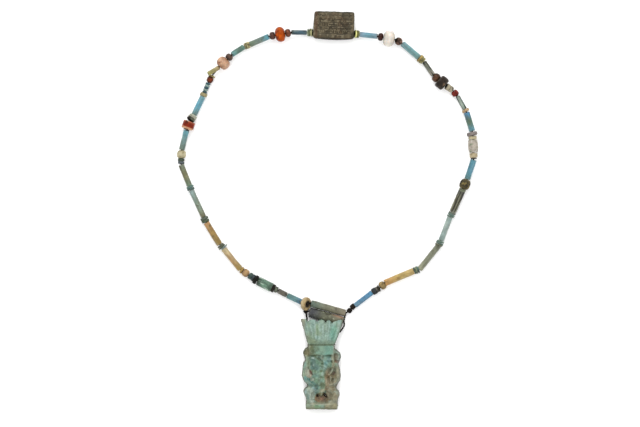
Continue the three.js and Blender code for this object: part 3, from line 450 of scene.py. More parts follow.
def fired_glaze(name, sheen, pitting, bloom, roughness=(0.42, 0.72)):
    """Weathered faience: the piece's own tint, clouded and speckled, pale bloom on its high places,
    dark pits, a broken shine, and a fine sandy bump."""
    made, tree, shader, coords, tint = tinted(name, sheen)
    cloud = noise(tree, coords, 2.6, 3.0)
    sand = noise(tree, coords, 0.45, 6.0, 0.7)
    hole = pits(tree, coords, 0.9, 0.26)
    light = ramp(tree, arithmetic(tree, "ADD", sand, cloud), 0.65, 1.35, 0.72, 1.22)
    bloomed = ramp(tree, sand, 0.54, 0.74, 0.0, bloom)
    colour = blend(tree, bloomed, brightened(tree, tint, light), (*linear((214, 216, 200)), 1))
    dirt = arithmetic(tree, "MULTIPLY", hole, 0.55 * pitting)
    colour = blend(tree, dirt, colour, (*linear((62, 52, 40)), 1))
    relief = arithmetic(tree, "MULTIPLY_ADD", hole, -pitting, sand)
    surface(tree, shader, colour, ramp(tree, sand, 0.3, 0.7, *roughness), relief, 0.5, 0.12)
    return made


figure_low_corner = np.array([-11.3, -0.7, -0.7])
figure_cell = 0.2
side_round, back_round, hole_round, rod_round = 1.1, 0.5, 0.2, 0.7
rod_radius, rod_reach, rod_middle, rod_y, loop_bore = 1.75, 6.3, -0.2, 37.5, 0.73
loop_height = crown_back + 0.35 - rod_radius
arm_floor, arm_holes_above = 5.7, 15
side_top = 44.9
flat_x, flat_y, heights = lattice(figure_low_corner, (11.6, 46.0, 10.3), figure_cell)
on_crown = step(crown_foot - 0.3, crown_foot + 0.5, flat_y)
front = (1 - on_crown) * body_relief(flat_x, flat_y) + on_crown * crown_relief(flat_x, flat_y)
for _ in range(4):
    front = (front + 4 * shifted(front, (1, 0), (-1, 0), (0, 1), (0, -1))) / 5
slope = np.sqrt(1 + sum(part**2 for part in np.gradient(front, figure_cell)))
rows = np.linspace(0, figure_height, 160)
side_rows = rows[rows < side_top]
left_side, right_side = (
    np.stack([edge_at(edge, side_rows), side_rows], axis=1) for edge in (left_edge, right_edge)
)
outline = np.concatenate([left_side, feather_tips, right_side[::-1], left_side[:1]])
to_outline, _ = line_distance(flat_x, flat_y, outline)
within = (flat_x > edge_at(left_edge, flat_y)) & (flat_x < edge_at(right_edge, flat_y))
within &= (flat_y > 0) & (flat_y < np.interp(flat_x, *feather_tips.T))
to_outline = np.where(within, -to_outline, to_outline)
back = crown_back * step(crown_foot - 1.0, crown_foot + 1.0, flat_y)
field = (heights - front[..., None]) / slope[..., None]
field = upper(field, to_outline[..., None], side_round)
field = upper(field, back[..., None] - heights, back_round)
holes = [((-5.4, 18.5), (0.42, 0.8), 20), ((6.1, 17.9), (0.34, 0.62), -35),
         ((-1.95, 6.6), (0.55, 0.5), 10), ((1.9, 6.9), (0.4, 1.2), 35)]
hole_open = np.full(flat_x.shape, 9.0)
for centre, radii, turn in holes:
    hole = (np.hypot(*in_ellipse(flat_x, flat_y, centre, radii, turn)) - 1) * min(radii)
    hole_open = np.minimum(hole_open, hole)
    hole_floor = arm_floor if centre[1] > arm_holes_above else -1
    opening = np.maximum(hole[..., None] - 0.06 * (heights - 3), hole_floor - heights)
    field = upper(field, -opening, hole_round)
loop = np.hypot(flat_y[..., None] - rod_y, heights - loop_height)
rod = np.maximum(loop - rod_radius, np.abs(flat_x[..., None] - rod_middle) - rod_reach)
field = upper(-upper(-field, -rod, rod_round), loop_bore - loop, hole_round)
waves = [(0.10, 2.3, 3), (0.10, 0.9, 4), (0.05, 0.5, 6)]
roughen(field, flat_x, flat_y, heights, 0.8, 0, waves, (1.1, 5, 0.45))
figure_places, figure_quads = skin(field, figure_low_corner, figure_cell)
figure_places[:, 2] = np.maximum(figure_places[:, 2], 0)

x, y, z = figure_places.T
# How far each place lies below its neighbours. Below, it steers painted shade in the hollows and painted
# highlight on the raised places.
around = shifted(front, (4, 0), (-4, 0), (0, 4), (0, -4), (3, 3), (-3, -3))
sunk = looked_up(np.clip(around - front, -1, 1), figure_places, figure_low_corner, figure_cell)
sunk = sunk * (z > looked_up(front, figure_places, figure_low_corner, figure_cell) - 0.6)
hole_near = 1 - looked_up(hole_open, figure_places, figure_low_corner, figure_cell)
blotch, patch, small, speck, dark_spots, pale_spots = (
    grain(figure_places, size, seed)
    for size, seed in [(4.5, 8), (2.1, 10), (1.0, 9), (0.55, 11), (1.6, 13), (1.3, 14)]
)
from_left, from_right = x - edge_at(left_edge, y), edge_at(right_edge, y) - x
across = 27 * from_left / (from_left + from_right)
streak = grain(np.stack([across, 0.18 * y, 0 * y], axis=1), 1.0, 12)


def spot(outer, inner, centre, radii):
    """How much each place of the figure lies in a soft spot: 1 within the inner bound and 0 past the
    outer one, both in the spot's two radii."""
    return step(outer, inner, np.hypot(*in_ellipse(x, y, centre, radii)))


rib, _ = ribs(x, y)
on_crown = step(32.2, 33.5, y)
upper_crown = on_crown * step(34, 36, y)
face = step(5.6, 4.6, np.abs(x + 0.2)) * span(y, 17.5, 19.5, 31.6, 32.4)
lower_face = face * step(27.0, 26.0, y)
torso = step(4.6, 3.4, np.abs(x + 0.6)) * span(y, 9.6, 11, 18.5, 20.5)
forearm, _ = line_distance(x, y, [(-7.6, 15.4), (-5.4, 13.2), (-2.8, 11.2)])
brown = step(1.2, 3.4, x + 0.9 * patch + 0.5 * small) * step(22.5, 18.5, y + 1.2 * blotch)
recess = spot(1.15, 0.8, (0.1, 5.8), (3.2, 2.6)) * step(6.6, 5.8, z)
ear_rim = np.abs(np.hypot(*in_ellipse(x, y, (7.6, 26.6), (0.85, 1))) - 2.3)
figure_tint = layered(
    np.broadcast_to(linear((128, 152, 132)), figure_places.shape),
    ((146, 172, 156), on_crown),
    ((138, 168, 136), on_crown * step(-0.1, 0.6, patch) * step(1.5, -2.5, x) * 0.8),
    ((120, 172, 152), on_crown * spot(3.4, 1.2, (6.4, 37.8), (0.9, 1.8)) * 0.9),
    # Painted highlight on the tops of the crown's ribs and painted shade in the valleys between them, in
    # streaks.
    ((172, 194, 186), upper_crown * step(0.75, 1.0, rib) * step(-0.6, 0.4, streak) * 0.5),
    ((100, 128, 108), upper_crown * step(0.55, 0.1, rib) * step(-0.5, 0.3, streak) * 0.7),
    ((140, 154, 120), on_crown * step(36.0, 33.5, y) * step(0.0, -4.0, x)),
    ((152, 158, 138), on_crown * step(-7.4, -8.8, x + 0.3 * small)),
    ((128, 158, 142), face),
    ((100, 146, 134), face * step(1.0, 2.6, x) * step(29.5, 28.0, y) * 0.6),
    ((104, 112, 78), step(-3.2, -4.6, x + 0.5 * patch) * span(y, 26.0, 27.6, 32.0, 33.0) * 0.9),
    ((100, 130, 118), span(y, 19, 20.5, 26, 27) * step(-0.6, -2.4, x - 0.6 * patch) * step(-5.8, -5.0, x)),
    ((96, 138, 116), lower_face * step(-0.1, 0.5, patch) * 0.7),
    ((134, 162, 152), lower_face * step(0.15, 0.6, small) * 0.5),
    # Painted highlight on the left eye.
    ((170, 186, 178), spot(1.2, 0.4, (-4.0, 25.8), (0.8, 0.5)) * 0.5),
    ((150, 140, 112), spot(1.2, 0.6, (0.4, 25.7), (0.9, 0.8)) * 0.5),
    ((124, 158, 150), spot(1.3, 0.4, (3.9, 24.7), (1.5, 1.3)) * 0.7),
    ((148, 164, 132), step(1.1, 0.6, np.abs(x + 7.4 - 0.2 * (27 - y))) * span(y, 21, 22, 27.0, 28.5) * 0.7),
    ((150, 150, 124), step(0.9, 0.3, np.abs(x - 5.95)) * span(y, 20, 21, 29, 31) * 0.6),
    ((126, 154, 132), torso),
    # Painted highlight on the belly.
    ((156, 184, 168), torso * spot(1.4, 0.4, (0.5, 17.8), (1, 1.2))),
    ((104, 146, 120), torso * step(0.0, 0.5, patch) * 0.8),
    ((92, 142, 136), step(1.9, 0.9, forearm) * (0.8 + 0.5 * small)),
    ((74, 110, 102), spot(1.3, 0.5, (-2.9, 11.0), (1, 1.3)) * 0.8),
    ((182, 168, 146), spot(1.2, 0.8, (-6.0, 17.8), (1.5, 2.1)) * 0.9),
    ((146, 140, 114), brown),
    ((116, 108, 82), brown * step(0.1, 0.6, patch) * 0.8),
    ((136, 144, 108), brown * step(0.15, 0.6, -small) * 0.5),
    ((150, 156, 138), step(7.0, 8.4, x) * step(24, 22, y) * 0.5),
    ((132, 116, 88), brown * step(2.0, 0.6, np.abs(x - 3.0 - 0.6 * small)) * step(8.5, 10, y) * 0.5),
    ((168, 190, 182), spot(3.4, 1.4, (-5.6, 9.2), (1.25, 1)) * (0.7 + 0.6 * small)),
    ((116, 134, 122), spot(2.0, 0.8, (-6.6, 6.6), (1.1, 1.4)) * (0.6 + 0.6 * small)),
    ((172, 172, 144), spot(1.4, 0.5, (0.5, 9.5), (1.4, 0.9)) * 0.8),
    ((144, 154, 128), step(3.6, 2.8, y) * step(2.0, -1.0, x)),
    ((148, 144, 114), step(3.6, 2.8, y) * step(1.0, 3.0, x)),
    ((124, 160, 118), step(4.4, 3.2, y) * step(2.2, 0.8, np.abs(x + 2.0)) * 0.7),
    ((184, 154, 124), recess),
    ((216, 156, 128), recess * step(-0.1, 0.5, small) * step(6.4, 5.4, y) * 0.8),
    ((168, 172, 132), recess * step(6.2, 7.4, y) * 0.8),
    ((116, 108, 84), spot(1.5, 0.7, (7.2, 26.4), (1.3, 1.6)) * 0.85),
    ((158, 166, 164), step(0.7, 0.2, ear_rim) * step(6.8, 7.6, x) * 0.6),
    ((134, 96, 78), spot(1.2, 0.5, (7.6, 24.0), (1.4, 1.0)) * 0.9),
    ((118, 116, 88), spot(2.6, 1.2, (-8.0, 28.4), (1.2, 1)) * 0.7),
)
speckled = 1 + np.where(y > 27, 0.1, 0.26) * small + 0.2 * speck
warmer = (np.where(y > 32, 0.08, 0.16) * patch)[:, None] * [1.2, 0.1, -0.8]
figure_tint = figure_tint * speckled[:, None] * (1 + warmer)

forehead = span(y, 27.0, 27.8, 31.6, 32.2) * step(6.4, 5.6, np.abs(x))
aslant = 0.62 * (x + 3.5) + 0.79 * (y - 26.9) + 0.2 * small
figure_tint = layered(
    figure_tint,
    ((96, 104, 70), step(0.35, 0.8, dark_spots) * step(31, 28, y) * 0.6),
    ((162, 182, 170), step(0.4, 0.85, pale_spots) * step(31, 28, y) * 0.5),
    ((126, 162, 138), forehead * step(-3.6, -2.0, x) * 0.6),
    ((112, 164, 148), forehead * step(1.0, 3.0, x) * 0.5),
    # Painted shade along the lower edge of the base.
    ((92, 92, 62), step(1.4, 0.5, y) * 0.6),
    # Painted shade in the hollows, where a place lies below its neighbours.
    ((78, 84, 56), step(0.12, 0.8, sunk) * np.select([y > 32.8, y > 10], [0.4, 0.6], 0.1)),
    ((76, 92, 62), 0.85 * line(y - 32.2, 0.45) * step(6.7, 6.2, np.abs(x))),
    ((108, 132, 108), 0.6 * span(y, 32.4, 32.8, 33.4, 35.2)),
    ((70, 88, 60), 0.7 * line(y - 26.9 - 0.35 * patch, 0.45) * step(5.6, 5.0, np.abs(x))),
    ((82, 92, 60), 0.7 * line(aslant, 0.55) * span(x, -4.2, -3.4, 0.8, 1.6)),
)
patches = [
    ((-3.2, 30.4), (2.2, 1.8), (98, 110, 76), 0.6),
    # Painted shade under the nose, in the middle of the face.
    ((0.5, 23.2), (0.8, 2.4), (72, 96, 68), 0.75),
    ((5.6, 26.0), (0.8, 1.9), (168, 174, 150), 0.6),
    # Painted highlight on the belly.
    ((0.5, 17.6), (0.9, 1.1), (166, 190, 174), 0.8),
    ((-7.1, 19.0), (1.0, 2.8), (192, 200, 180), 0.8),
    ((-4.7, 15.0), (1.0, 1.1), (196, 208, 188), 0.9),
    ((-4.5, 13.0), (1.4, 1.0), (66, 100, 88), 0.6),
    ((-7.0, 13.0), (0.9, 0.9), (92, 108, 98), 0.5),
    ((-4.6, 18.2), (0.5, 1.4), (84, 82, 62), 0.6),
    ((-2.3, 11.4), (1.1, 1.3), (66, 88, 74), 0.75),
    ((0.5, 12.2), (1.4, 1.6), (88, 98, 62), 0.7),
    ((3.2, 14.0), (1.2, 1.8), (182, 170, 142), 0.8),
    ((5.6, 15.0), (0.8, 1.3), (148, 140, 114), 0.5),
    ((0.5, 9.3), (1.4, 0.8), (186, 186, 156), 0.8),
    ((-4.7, 6.6), (1.4, 3.4), (196, 208, 192), 0.9),
    ((-7.2, 7.0), (0.7, 1.2), (96, 110, 94), 0.5),
    ((3.4, 8.2), (1.1, 1.5), (184, 174, 146), 0.8),
    ((3.0, 11.0), (1.3, 0.9), (94, 82, 58), 0.6),
    ((5.5, 11.0), (0.9, 0.9), (110, 106, 78), 0.4),
    ((8.0, 26.0), (0.8, 2.0), (162, 162, 142), 0.6),
    ((5.4, 6.6), (1.5, 2.0), (166, 158, 128), 0.6),
    ((0.6, 3.0), (6.4, 0.8), (182, 182, 154), 0.7),
    ((-2.2, 5.0), (1.2, 1.2), (196, 160, 128), 0.6),
    ((0.4, 5.2), (1.2, 1.0), (214, 160, 132), 0.5),
    ((3.2, 5.0), (0.9, 1.4), (170, 156, 124), 0.6),
    ((-7.0, 36.0), (1.3, 2.4), (134, 142, 122), 0.6),
    ((-4.6, 37.2), (1.0, 1.6), (126, 150, 128), 0.5),
    ((0.5, 37.0), (0.7, 2.2), (120, 146, 132), 0.5),
]
for centre, radii, colour, share in patches:
    away = np.hypot(*in_ellipse(x, y, centre, radii)) + 0.25 * small
    flecked = linear(colour) * (1 + 0.2 * speck + 0.1 * small)[:, None]
    figure_tint = mixed(figure_tint, flecked, share * step(1.3, 0.5, away))
near_edge = np.maximum(-np.minimum(from_left, from_right), -3)
figure_tint = layered(
    figure_tint,
    # Painted highlight on the raised places, where a place stands above its neighbours.
    ((190, 202, 184), step(0.12, 0.6, -sunk) * 0.3),
    # Painted shade on the sides: a dark rim just inside the outline, stronger on the left, and darker low
    # down towards the surface.
    ((84, 86, 64), step(-1.0, -0.3, near_edge) * step(7.2, 5.9, z) * np.where(x < 0, 0.95, 0.7)),
    ((92, 88, 66), step(4.4, 2.2, z) * 0.7),
    # Painted shade on the walls inside the piercings.
    ((64, 54, 42), step(0.6, 0.95, hole_near) * step(6.6, 5.6, z) * 0.8),
)
in_arm_hole = step(0.9, 1.2, hole_near) * step(7.0, 6.0, z) * (y > arm_holes_above)
inner_brown = linear((112, 80, 68)) * np.where(x < 0, 1, 0.8)[:, None]
figure_tint = mixed(figure_tint, inner_brown, in_arm_hole * 0.9)
figure_glaze = fired_glaze("figure_glaze", 0.22, 0.5, 0.4)
carved = figure_home + figure_places
piece("bes_figure_carved", carved, figure_quads, figure_glaze, "bes_figure", figure_tint)

# The carved plaque. A flat oblong bead of dark steatite with rounded corners, threaded near its lower
# long side. Its top bears worn rows of shallow strokes between ruled lines, cut with a graver.


def corners_of(node):
    """The corners of a CAD node's mesh, in metres."""
    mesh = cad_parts[node].data
    places = np.empty(3 * len(mesh.vertices))
    mesh.vertices.foreach_get("co", places)
    return places.reshape(-1, 3)


# The plaque lies turned on the surface, by the angle at which the box round its corners is smallest.
plaque_size = np.array([20.3, 14.0, 5.4])
plaque_corners = corners_of("carved_plaque") / mm
plaque_middle = (plaque_corners.min(axis=0) + plaque_corners.max(axis=0)) / 2
turns = np.radians(np.linspace(-12, 12, 2401))
corner_x, corner_y, _ = plaque_corners.T
widths = np.ptp(np.outer(np.cos(turns), corner_x) + np.outer(np.sin(turns), corner_y), axis=1)
depths = np.ptp(np.outer(np.cos(turns), corner_y) - np.outer(np.sin(turns), corner_x), axis=1)
plaque_turn = turns[np.argmin(widths * depths)]
plaque_way = np.array([np.cos(plaque_turn), np.sin(plaque_turn), 0])
plaque_side = np.array([-plaque_way[1], plaque_way[0], 0])
bore_offset = 3.8
bore_radius = 0.73
ruled_lines = [(6.1, 0.2), (1.3, 0.26), (-0.65, 0.22), (-4.3, 0.24)]
stroke_rows = [(4.9, 0.8, 0.95, 19), (2.8, 1.1, 0.95, 19), (0.35, 0.7, 0.9, 20), (-1.6, 0.7, 0.9, 20),
               (-3.3, 0.7, 0.95, 19)]


def stroke_field(x, y):
    """Depth of the carving before wear: ruled lines, and rows of bars and arcs that are strokes and no
    signs, each turned and bent by seeded numbers."""
    random = np.random.default_rng(12)
    depth = np.zeros(x.shape)
    for height, width in ruled_lines:
        wave = height + 0.12 * np.sin(0.8 * x + height)
        depth = np.maximum(depth, 0.26 * line(y - wave, width) * step(9.4, 8.8, np.abs(x)))
    for edge in (-9.1, 9.0):
        depth = np.maximum(depth, 0.14 * line(x - edge, 0.2) * step(6.2, 5.7, np.abs(y)))
    for row, tall, pitch, count in stroke_rows:
        for k in range(count):
            cx = (k - (count - 1) / 2) * pitch + random.uniform(-0.15, 0.15)
            cy = row + random.uniform(-0.2, 0.2)
            turn = np.radians(random.choice([90, 90, 90, 84, 45, -45, 0, 0, 0]) + random.uniform(-8, 8))
            reach = tall * random.uniform(0.55, 1.0) * (1 if abs(np.sin(turn)) > 0.7 else 0.5)
            bend = random.choice([0, 0, 0.25, -0.3]) * tall
            along = np.linspace(-1, 1, 5)
            px = cx + np.cos(turn) * reach * along - np.sin(turn) * bend * (1 - along**2)
            py = cy + np.sin(turn) * reach * along + np.cos(turn) * bend * (1 - along**2)
            distance, _ = line_distance(x, y, np.stack([px, py], axis=1))
            depth = np.maximum(depth, 0.36 * line(distance, 0.22))
    return depth


plaque_low_corner = np.array([-10.8, -7.8, -3.3])
plaque_cell = 0.15
corner_round, top_round, under_round, mouth_round = 1.1, 0.9, 0.7, 0.35
flat_x, flat_y, heights = lattice(plaque_low_corner, 0.1 - plaque_low_corner, plaque_cell)
half = plaque_size / 2
belly = 0.65 * (1 - (flat_x / half[0]) ** 2)
out_x = np.abs(flat_x) - half[0] - 0.12 + corner_round + 0.06 * np.maximum(flat_y + 1, 0) * (flat_x < 0)
out_y = np.where(flat_y < 0, -flat_y - half[1] + 0.5 - belly, flat_y - half[1]) + corner_round
past_corner = np.hypot(np.maximum(out_x, 0), np.maximum(out_y, 0))
sides = past_corner + np.minimum(np.maximum(out_x, out_y), 0) - corner_round
worn = 0.5 + 0.5 * grain(np.stack([flat_x, flat_y, 0 * flat_x], axis=-1), 3.1, 21)
carving = stroke_field(flat_x, flat_y) * (0.3 + 0.8 * worn)
top = half[2] - carving - 0.25 * step(5.4, 7.0, np.abs(flat_y)) - 0.2 * step(8.4, 10.2, np.abs(flat_x))
field = upper(sides[..., None], heights - top[..., None], top_round)
field = upper(field, -heights - half[2], under_round)
field = upper(field, bore_radius - np.hypot(flat_y[..., None] + bore_offset, heights), mouth_round)
roughen(field, flat_x, flat_y, heights, 0.6, 0.06, [(0.07, 1.7, 22), (0.05, 0.6, 23)], (1.4, 24, 0.5))
plaque_places, plaque_quads = skin(field, plaque_low_corner, plaque_cell)

x, y, z = plaque_places.T
sunk = looked_up(carving, plaque_places, plaque_low_corner, plaque_cell) * step(1.6, 2.2, z)
cloud, rusty, pale_spots, dark_spots = (
    grain(plaque_places, size, seed) for size, seed in [(2.4, 25), (3.3, 26), (0.95, 27), (1.1, 28)]
)
plaque_tint = layered(
    np.broadcast_to(linear((80, 73, 55)), plaque_places.shape),
    ((106, 95, 72), 0.6 + 0.7 * cloud),
    ((92, 70, 48), step(0.2, 0.8, rusty) * 0.6),
    ((132, 122, 98), step(0.0, 0.4, pale_spots) * step(0.1, 0.03, sunk) * 0.75),
    ((58, 52, 36), step(-0.1, -0.5, dark_spots) * 0.7),
    ((50, 44, 28), step(0.04, 0.28, sunk) * 0.85),
    # Painted shade on the plaque's sides, below the level of its top, and along both long edges.
    ((34, 30, 20), step(2.4, 1.6, z) * 0.8),
    ((32, 28, 18), step(6.3, 6.8, np.abs(y)) * 0.8),
    ((98, 70, 50), step(1.0, 0.4, np.abs(x + 8.8)) * 0.5),
    # Painted shade along the bottom edge.
    ((50, 43, 30), step(-5.9, -6.6, y) * 0.75),
)


def dull_stone(name, roughness):
    """Handled soft stone: the piece's own tint, clouded, with fine scratches and a waxy shine on its
    smooth places."""
    made, tree, shader, coords, tint = tinted(name, 0.15)
    fine = noise(tree, coords, 0.5, 6.0, 0.7)
    colour = brightened(tree, tint, ramp(tree, fine, 0.3, 0.72, 0.72, 1.3))
    stretched = add(tree, "ShaderNodeMapping", {"Vector": coords, "Scale": (0.25, 1.6, 1.0)}).outputs[0]
    relief = arithmetic(tree, "MULTIPLY_ADD", noise(tree, stretched, 0.3, 3.0, 0.8), 0.5, fine)
    shine = ramp(tree, fine, 0.35, 0.7, roughness, roughness + 0.25)
    surface(tree, shader, colour, shine, relief, 0.45, 0.1)
    return made


plaque_places = plaque_middle + plaque_places @ np.array([plaque_way, plaque_side, [0, 0, 1]])
plaque_places[:, 2] = np.maximum(plaque_places[:, 2], 0)
steatite = dull_stone("steatite", 0.42)
piece("carved_plaque_stone", plaque_places, plaque_quads, steatite, "carved_plaque", plaque_tint)

# The tube beads. Moulded faience tubes, 2.3 to 3.5 mm thick, glazed blue, green, olive or ochre, with
# worn uneven ends. One loose broken tube has swung out over the disc before it.

# Each row gives a bead's node, its length and diameter, its colours at the start, middle and end, and
# a colour that stains it with the share that it covers.
tubes = [
    ("teal_tube_1", 7.8, 2.9, (66, 116, 148), (108, 156, 158), (78, 124, 122), (59, 69, 61), 0.25),
    ("grey_brown_tube", 4.7, 2.8, (98, 106, 96), (108, 102, 88), (108, 106, 98), (66, 60, 49), 0.3),
    ("sand_tube", 13.1, 3.1, (160, 130, 54), (184, 152, 104), (222, 206, 162), (150, 112, 62), 0.35),
    ("brown_tube", 12.7, 3.2, (154, 126, 60), (162, 130, 70), (190, 142, 86), (124, 104, 58), 0.35),
    ("pale_green_tube", 14.7, 2.8, (112, 110, 82), (140, 159, 142), (140, 164, 160), (107, 107, 84), 0.3),
    ("olive_tube_1", 11.1, 2.9, (110, 134, 110), (122, 120, 82), (115, 126, 107), (83, 76, 48), 0.4),
    ("blue_tube_1", 9.7, 3.0, (94, 118, 106), (117, 148, 146), (100, 171, 187), (88, 94, 73), 0.25),
    ("blue_tube_2", 10.0, 3.0, (114, 150, 150), (98, 168, 190), (124, 176, 188), (100, 113, 94), 0.15),
    ("olive_tube_2", 6.4, 2.3, (182, 174, 104), (160, 150, 96), (170, 148, 108), (115, 107, 69), 0.3),
    ("teal_tube_2", 7.0, 2.9, (112, 170, 170), (94, 134, 120), (100, 144, 130), (65, 77, 63), 0.25),
    ("green_blue_tube", 10.2, 3.0, (108, 127, 102), (122, 142, 134), (89, 163, 181), (85, 95, 68), 0.3),
    ("dark_blue_tube", 7.5, 2.5, (46, 76, 86), (65, 97, 112), (59, 87, 96), (45, 55, 52), 0.3),
    ("light_blue_tube", 8.8, 2.8, (122, 146, 164), (108, 162, 178), (118, 150, 166), (91, 100, 98), 0.15),
    ("blue_tube_3", 10.8, 3.1, (124, 162, 168), (122, 174, 178), (116, 162, 160), (89, 100, 86), 0.25),
    ("grey_green_tube_1", 7.9, 2.6, (164, 166, 142), (94, 100, 88), (156, 148, 134), (48, 50, 38), 0.35),
    ("grey_green_tube_2", 7.2, 2.4, (100, 110, 106), (122, 148, 146), (158, 180, 166), (58, 66, 50), 0.3),
    ("blue_tube_4", 9.5, 3.2, (66, 138, 182), (84, 116, 98), (84, 146, 164), (104, 98, 62), 0.3),
    ("blue_tube_5", 10.0, 3.1, (86, 148, 166), (82, 142, 164), (94, 144, 150), (78, 96, 82), 0.2),
    ("dark_mottled_tube", 11.1, 3.5, (22, 22, 14), (96, 92, 66), (96, 92, 68), (36, 32, 24), 0.4),
    ("pale_blue_tube", 12.2, 2.9, (146, 168, 162), (158, 176, 170), (146, 170, 164), (124, 140, 134), 0.2),
    ("olive_tube_3", 14.2, 3.0, (108, 112, 92), (140, 144, 122), (150, 152, 124), (96, 95, 72), 0.3),
    ("ochre_tube", 15.0, 3.4, (196, 168, 104), (190, 164, 94), (208, 156, 88), (150, 118, 66), 0.3),
    ("bright_blue_tube", 10.6, 2.6, (78, 144, 184), (82, 134, 168), (95, 140, 165), (88, 113, 119), 0.15),
]
ring_middle = np.array([0, 17])


def lies_at(node):
    """Where a turned solid lies: its middle, its way along the strand and its length. Of the three
    main directions of its corners, the axis is the one whose spread has no equal."""
    places = np.unique(corners_of(node).round(7), axis=0) / mm
    middle = places.mean(axis=0)
    spread, ways = np.linalg.eigh(np.cov((places - middle).T))
    way = ways[:, 2] if spread[2] - spread[1] > spread[1] - spread[0] else ways[:, 0]
    out_x, out_y = middle[:2] - ring_middle
    way = way if out_x * way[1] < out_y * way[0] else -way
    along = (places - middle) @ way
    return middle + way * (along.min() + along.max()) / 2, way, np.ptp(along)


def ring_quads(rings, around, closed=True):
    """The faces between rings of places that follow each other, closed to a ring of rings or not."""
    row, column = np.meshgrid(np.arange(rings if closed else rings - 1), np.arange(around), indexing="ij")
    next_row, next_column = (row + 1) % rings, (column + 1) % around
    corners = [(row, column), (row, next_column), (next_row, next_column), (next_row, column)]
    return np.stack([a * around + b for a, b in corners], axis=-1).reshape(-1, 4)


def turned(node, start, length, diameter, rim, rough, chips, around=40, bore=bore_radius):
    """A bead on the thread as a closed ring of rings: its profile goes out over the first face, round
    a rim, along the outside, round the other rim and back through the bore, and is carried round the
    axis. The rims are quarter ellipses of the given size along the thread and across it. Random
    hollows make it uneven, and dents take bites out of its rims. It returns the places, the faces,
    how far along the bead each place is, how much it is on a rim, and how deep it is in the bore."""
    middle, way, whole = lies_at(node)
    radius = diameter / 2
    bend = np.linspace(0, np.pi / 2, 7 if rim[0] < 1 else 14)
    rim_along, rim_out = rim[0] * (1 - np.cos(bend)), radius - rim[1] * (1 - np.sin(bend))
    straight = np.linspace(rim[0], length - rim[0], max(2, int((length - 2 * rim[0]) / 0.3)))[1:-1]
    inside = np.linspace(length, 0, 6)[1:-1]
    face = (bore + radius - rim[1]) / 2
    along = [[0, 0], rim_along, straight, (length - rim_along)[::-1], [length, length], inside]
    out = [[bore, face], rim_out, 0 * straight + radius, rim_out[::-1], [face, bore], 0 * inside + bore]
    along, out = np.concatenate(along), np.concatenate(out)
    edge = line(np.minimum(along, length - along), 0.45) * (out > bore + 0.1)
    outside = step(bore, bore + 0.6 * (radius - bore), out)
    angle = np.linspace(0, 2 * np.pi, around, endpoint=False)
    up = np.array([0, 0, 1.0]) - way * way[2]
    up = up / np.linalg.norm(up)
    spoke = np.cos(angle)[:, None] * up + np.sin(angle)[:, None] * np.cross(way, up)
    begin = middle + way * (start - whole / 2)
    places = begin + along[:, None, None] * way + out[:, None, None] * spoke
    hollow = 0.5 - 0.5 * grain(places, 2.6, 31) + 0.35 * (0.5 - 0.5 * grain(places, 0.9, 32))
    bite = np.maximum(grain(places, 1.2, 33) - 0.15, 0) * edge[:, None]
    inward = rough * hollow * outside[:, None] + chips * 0.5 * bite
    ends = np.sign(length / 2 - along)[:, None] * (chips * (0.6 * bite + 0.1 * edge[:, None] * hollow))
    places = places - inward[..., None] * spoke + ends[..., None] * way
    marks = (np.outer(value, np.ones(around)).ravel() for value in (along / length, edge, 1 - outside))
    return places.reshape(-1, 3), ring_quads(len(along), around), *marks


def bead_tint(places, along, edge, inner, colours, stain, share):
    """A bead's colours: three that follow each other along it, clouds of a stain, paler worn rims,
    and a darker bore."""
    first, middle, last = (linear(colour) for colour in colours)
    tint = mixed(mixed(first, middle, step(0, 0.5, along)), last, step(0.5, 1, along))
    cloud = 0.6 * grain(places, 1.9, 41) + 0.5 * grain(places, 0.7, 42)
    tint = layered(tint, (stain, step(0.75 - 1.5 * share, 1.1 - 1.2 * share, cloud)))
    tint = tint * (1 + 0.16 * grain(places, 1.2, 43))[:, None]
    rubbed = tint * 0.6 + linear((190, 184, 160)) * 0.4
    tint = mixed(tint, rubbed, edge * (0.3 + 0.5 * grain(places, 0.8, 44)))
    return layered(tint, ((48, 40, 32), inner * 0.85))


def swung(places, pivot, way, goal):
    """Places turned about a pivot by the shortest turn from one way to another."""
    goal = np.array(goal) / np.linalg.norm(goal)
    axis = np.cross(way, goal)
    once = np.cross(axis, places - pivot)
    return places + once + np.cross(axis, once) / (1 + way @ goal)


def squeezed(places, node, share):
    """Places moved along a bead's axis towards its middle, by that share of the way."""
    middle, way, _ = lies_at(node)
    return places - share * np.outer((places - middle) @ way, way)


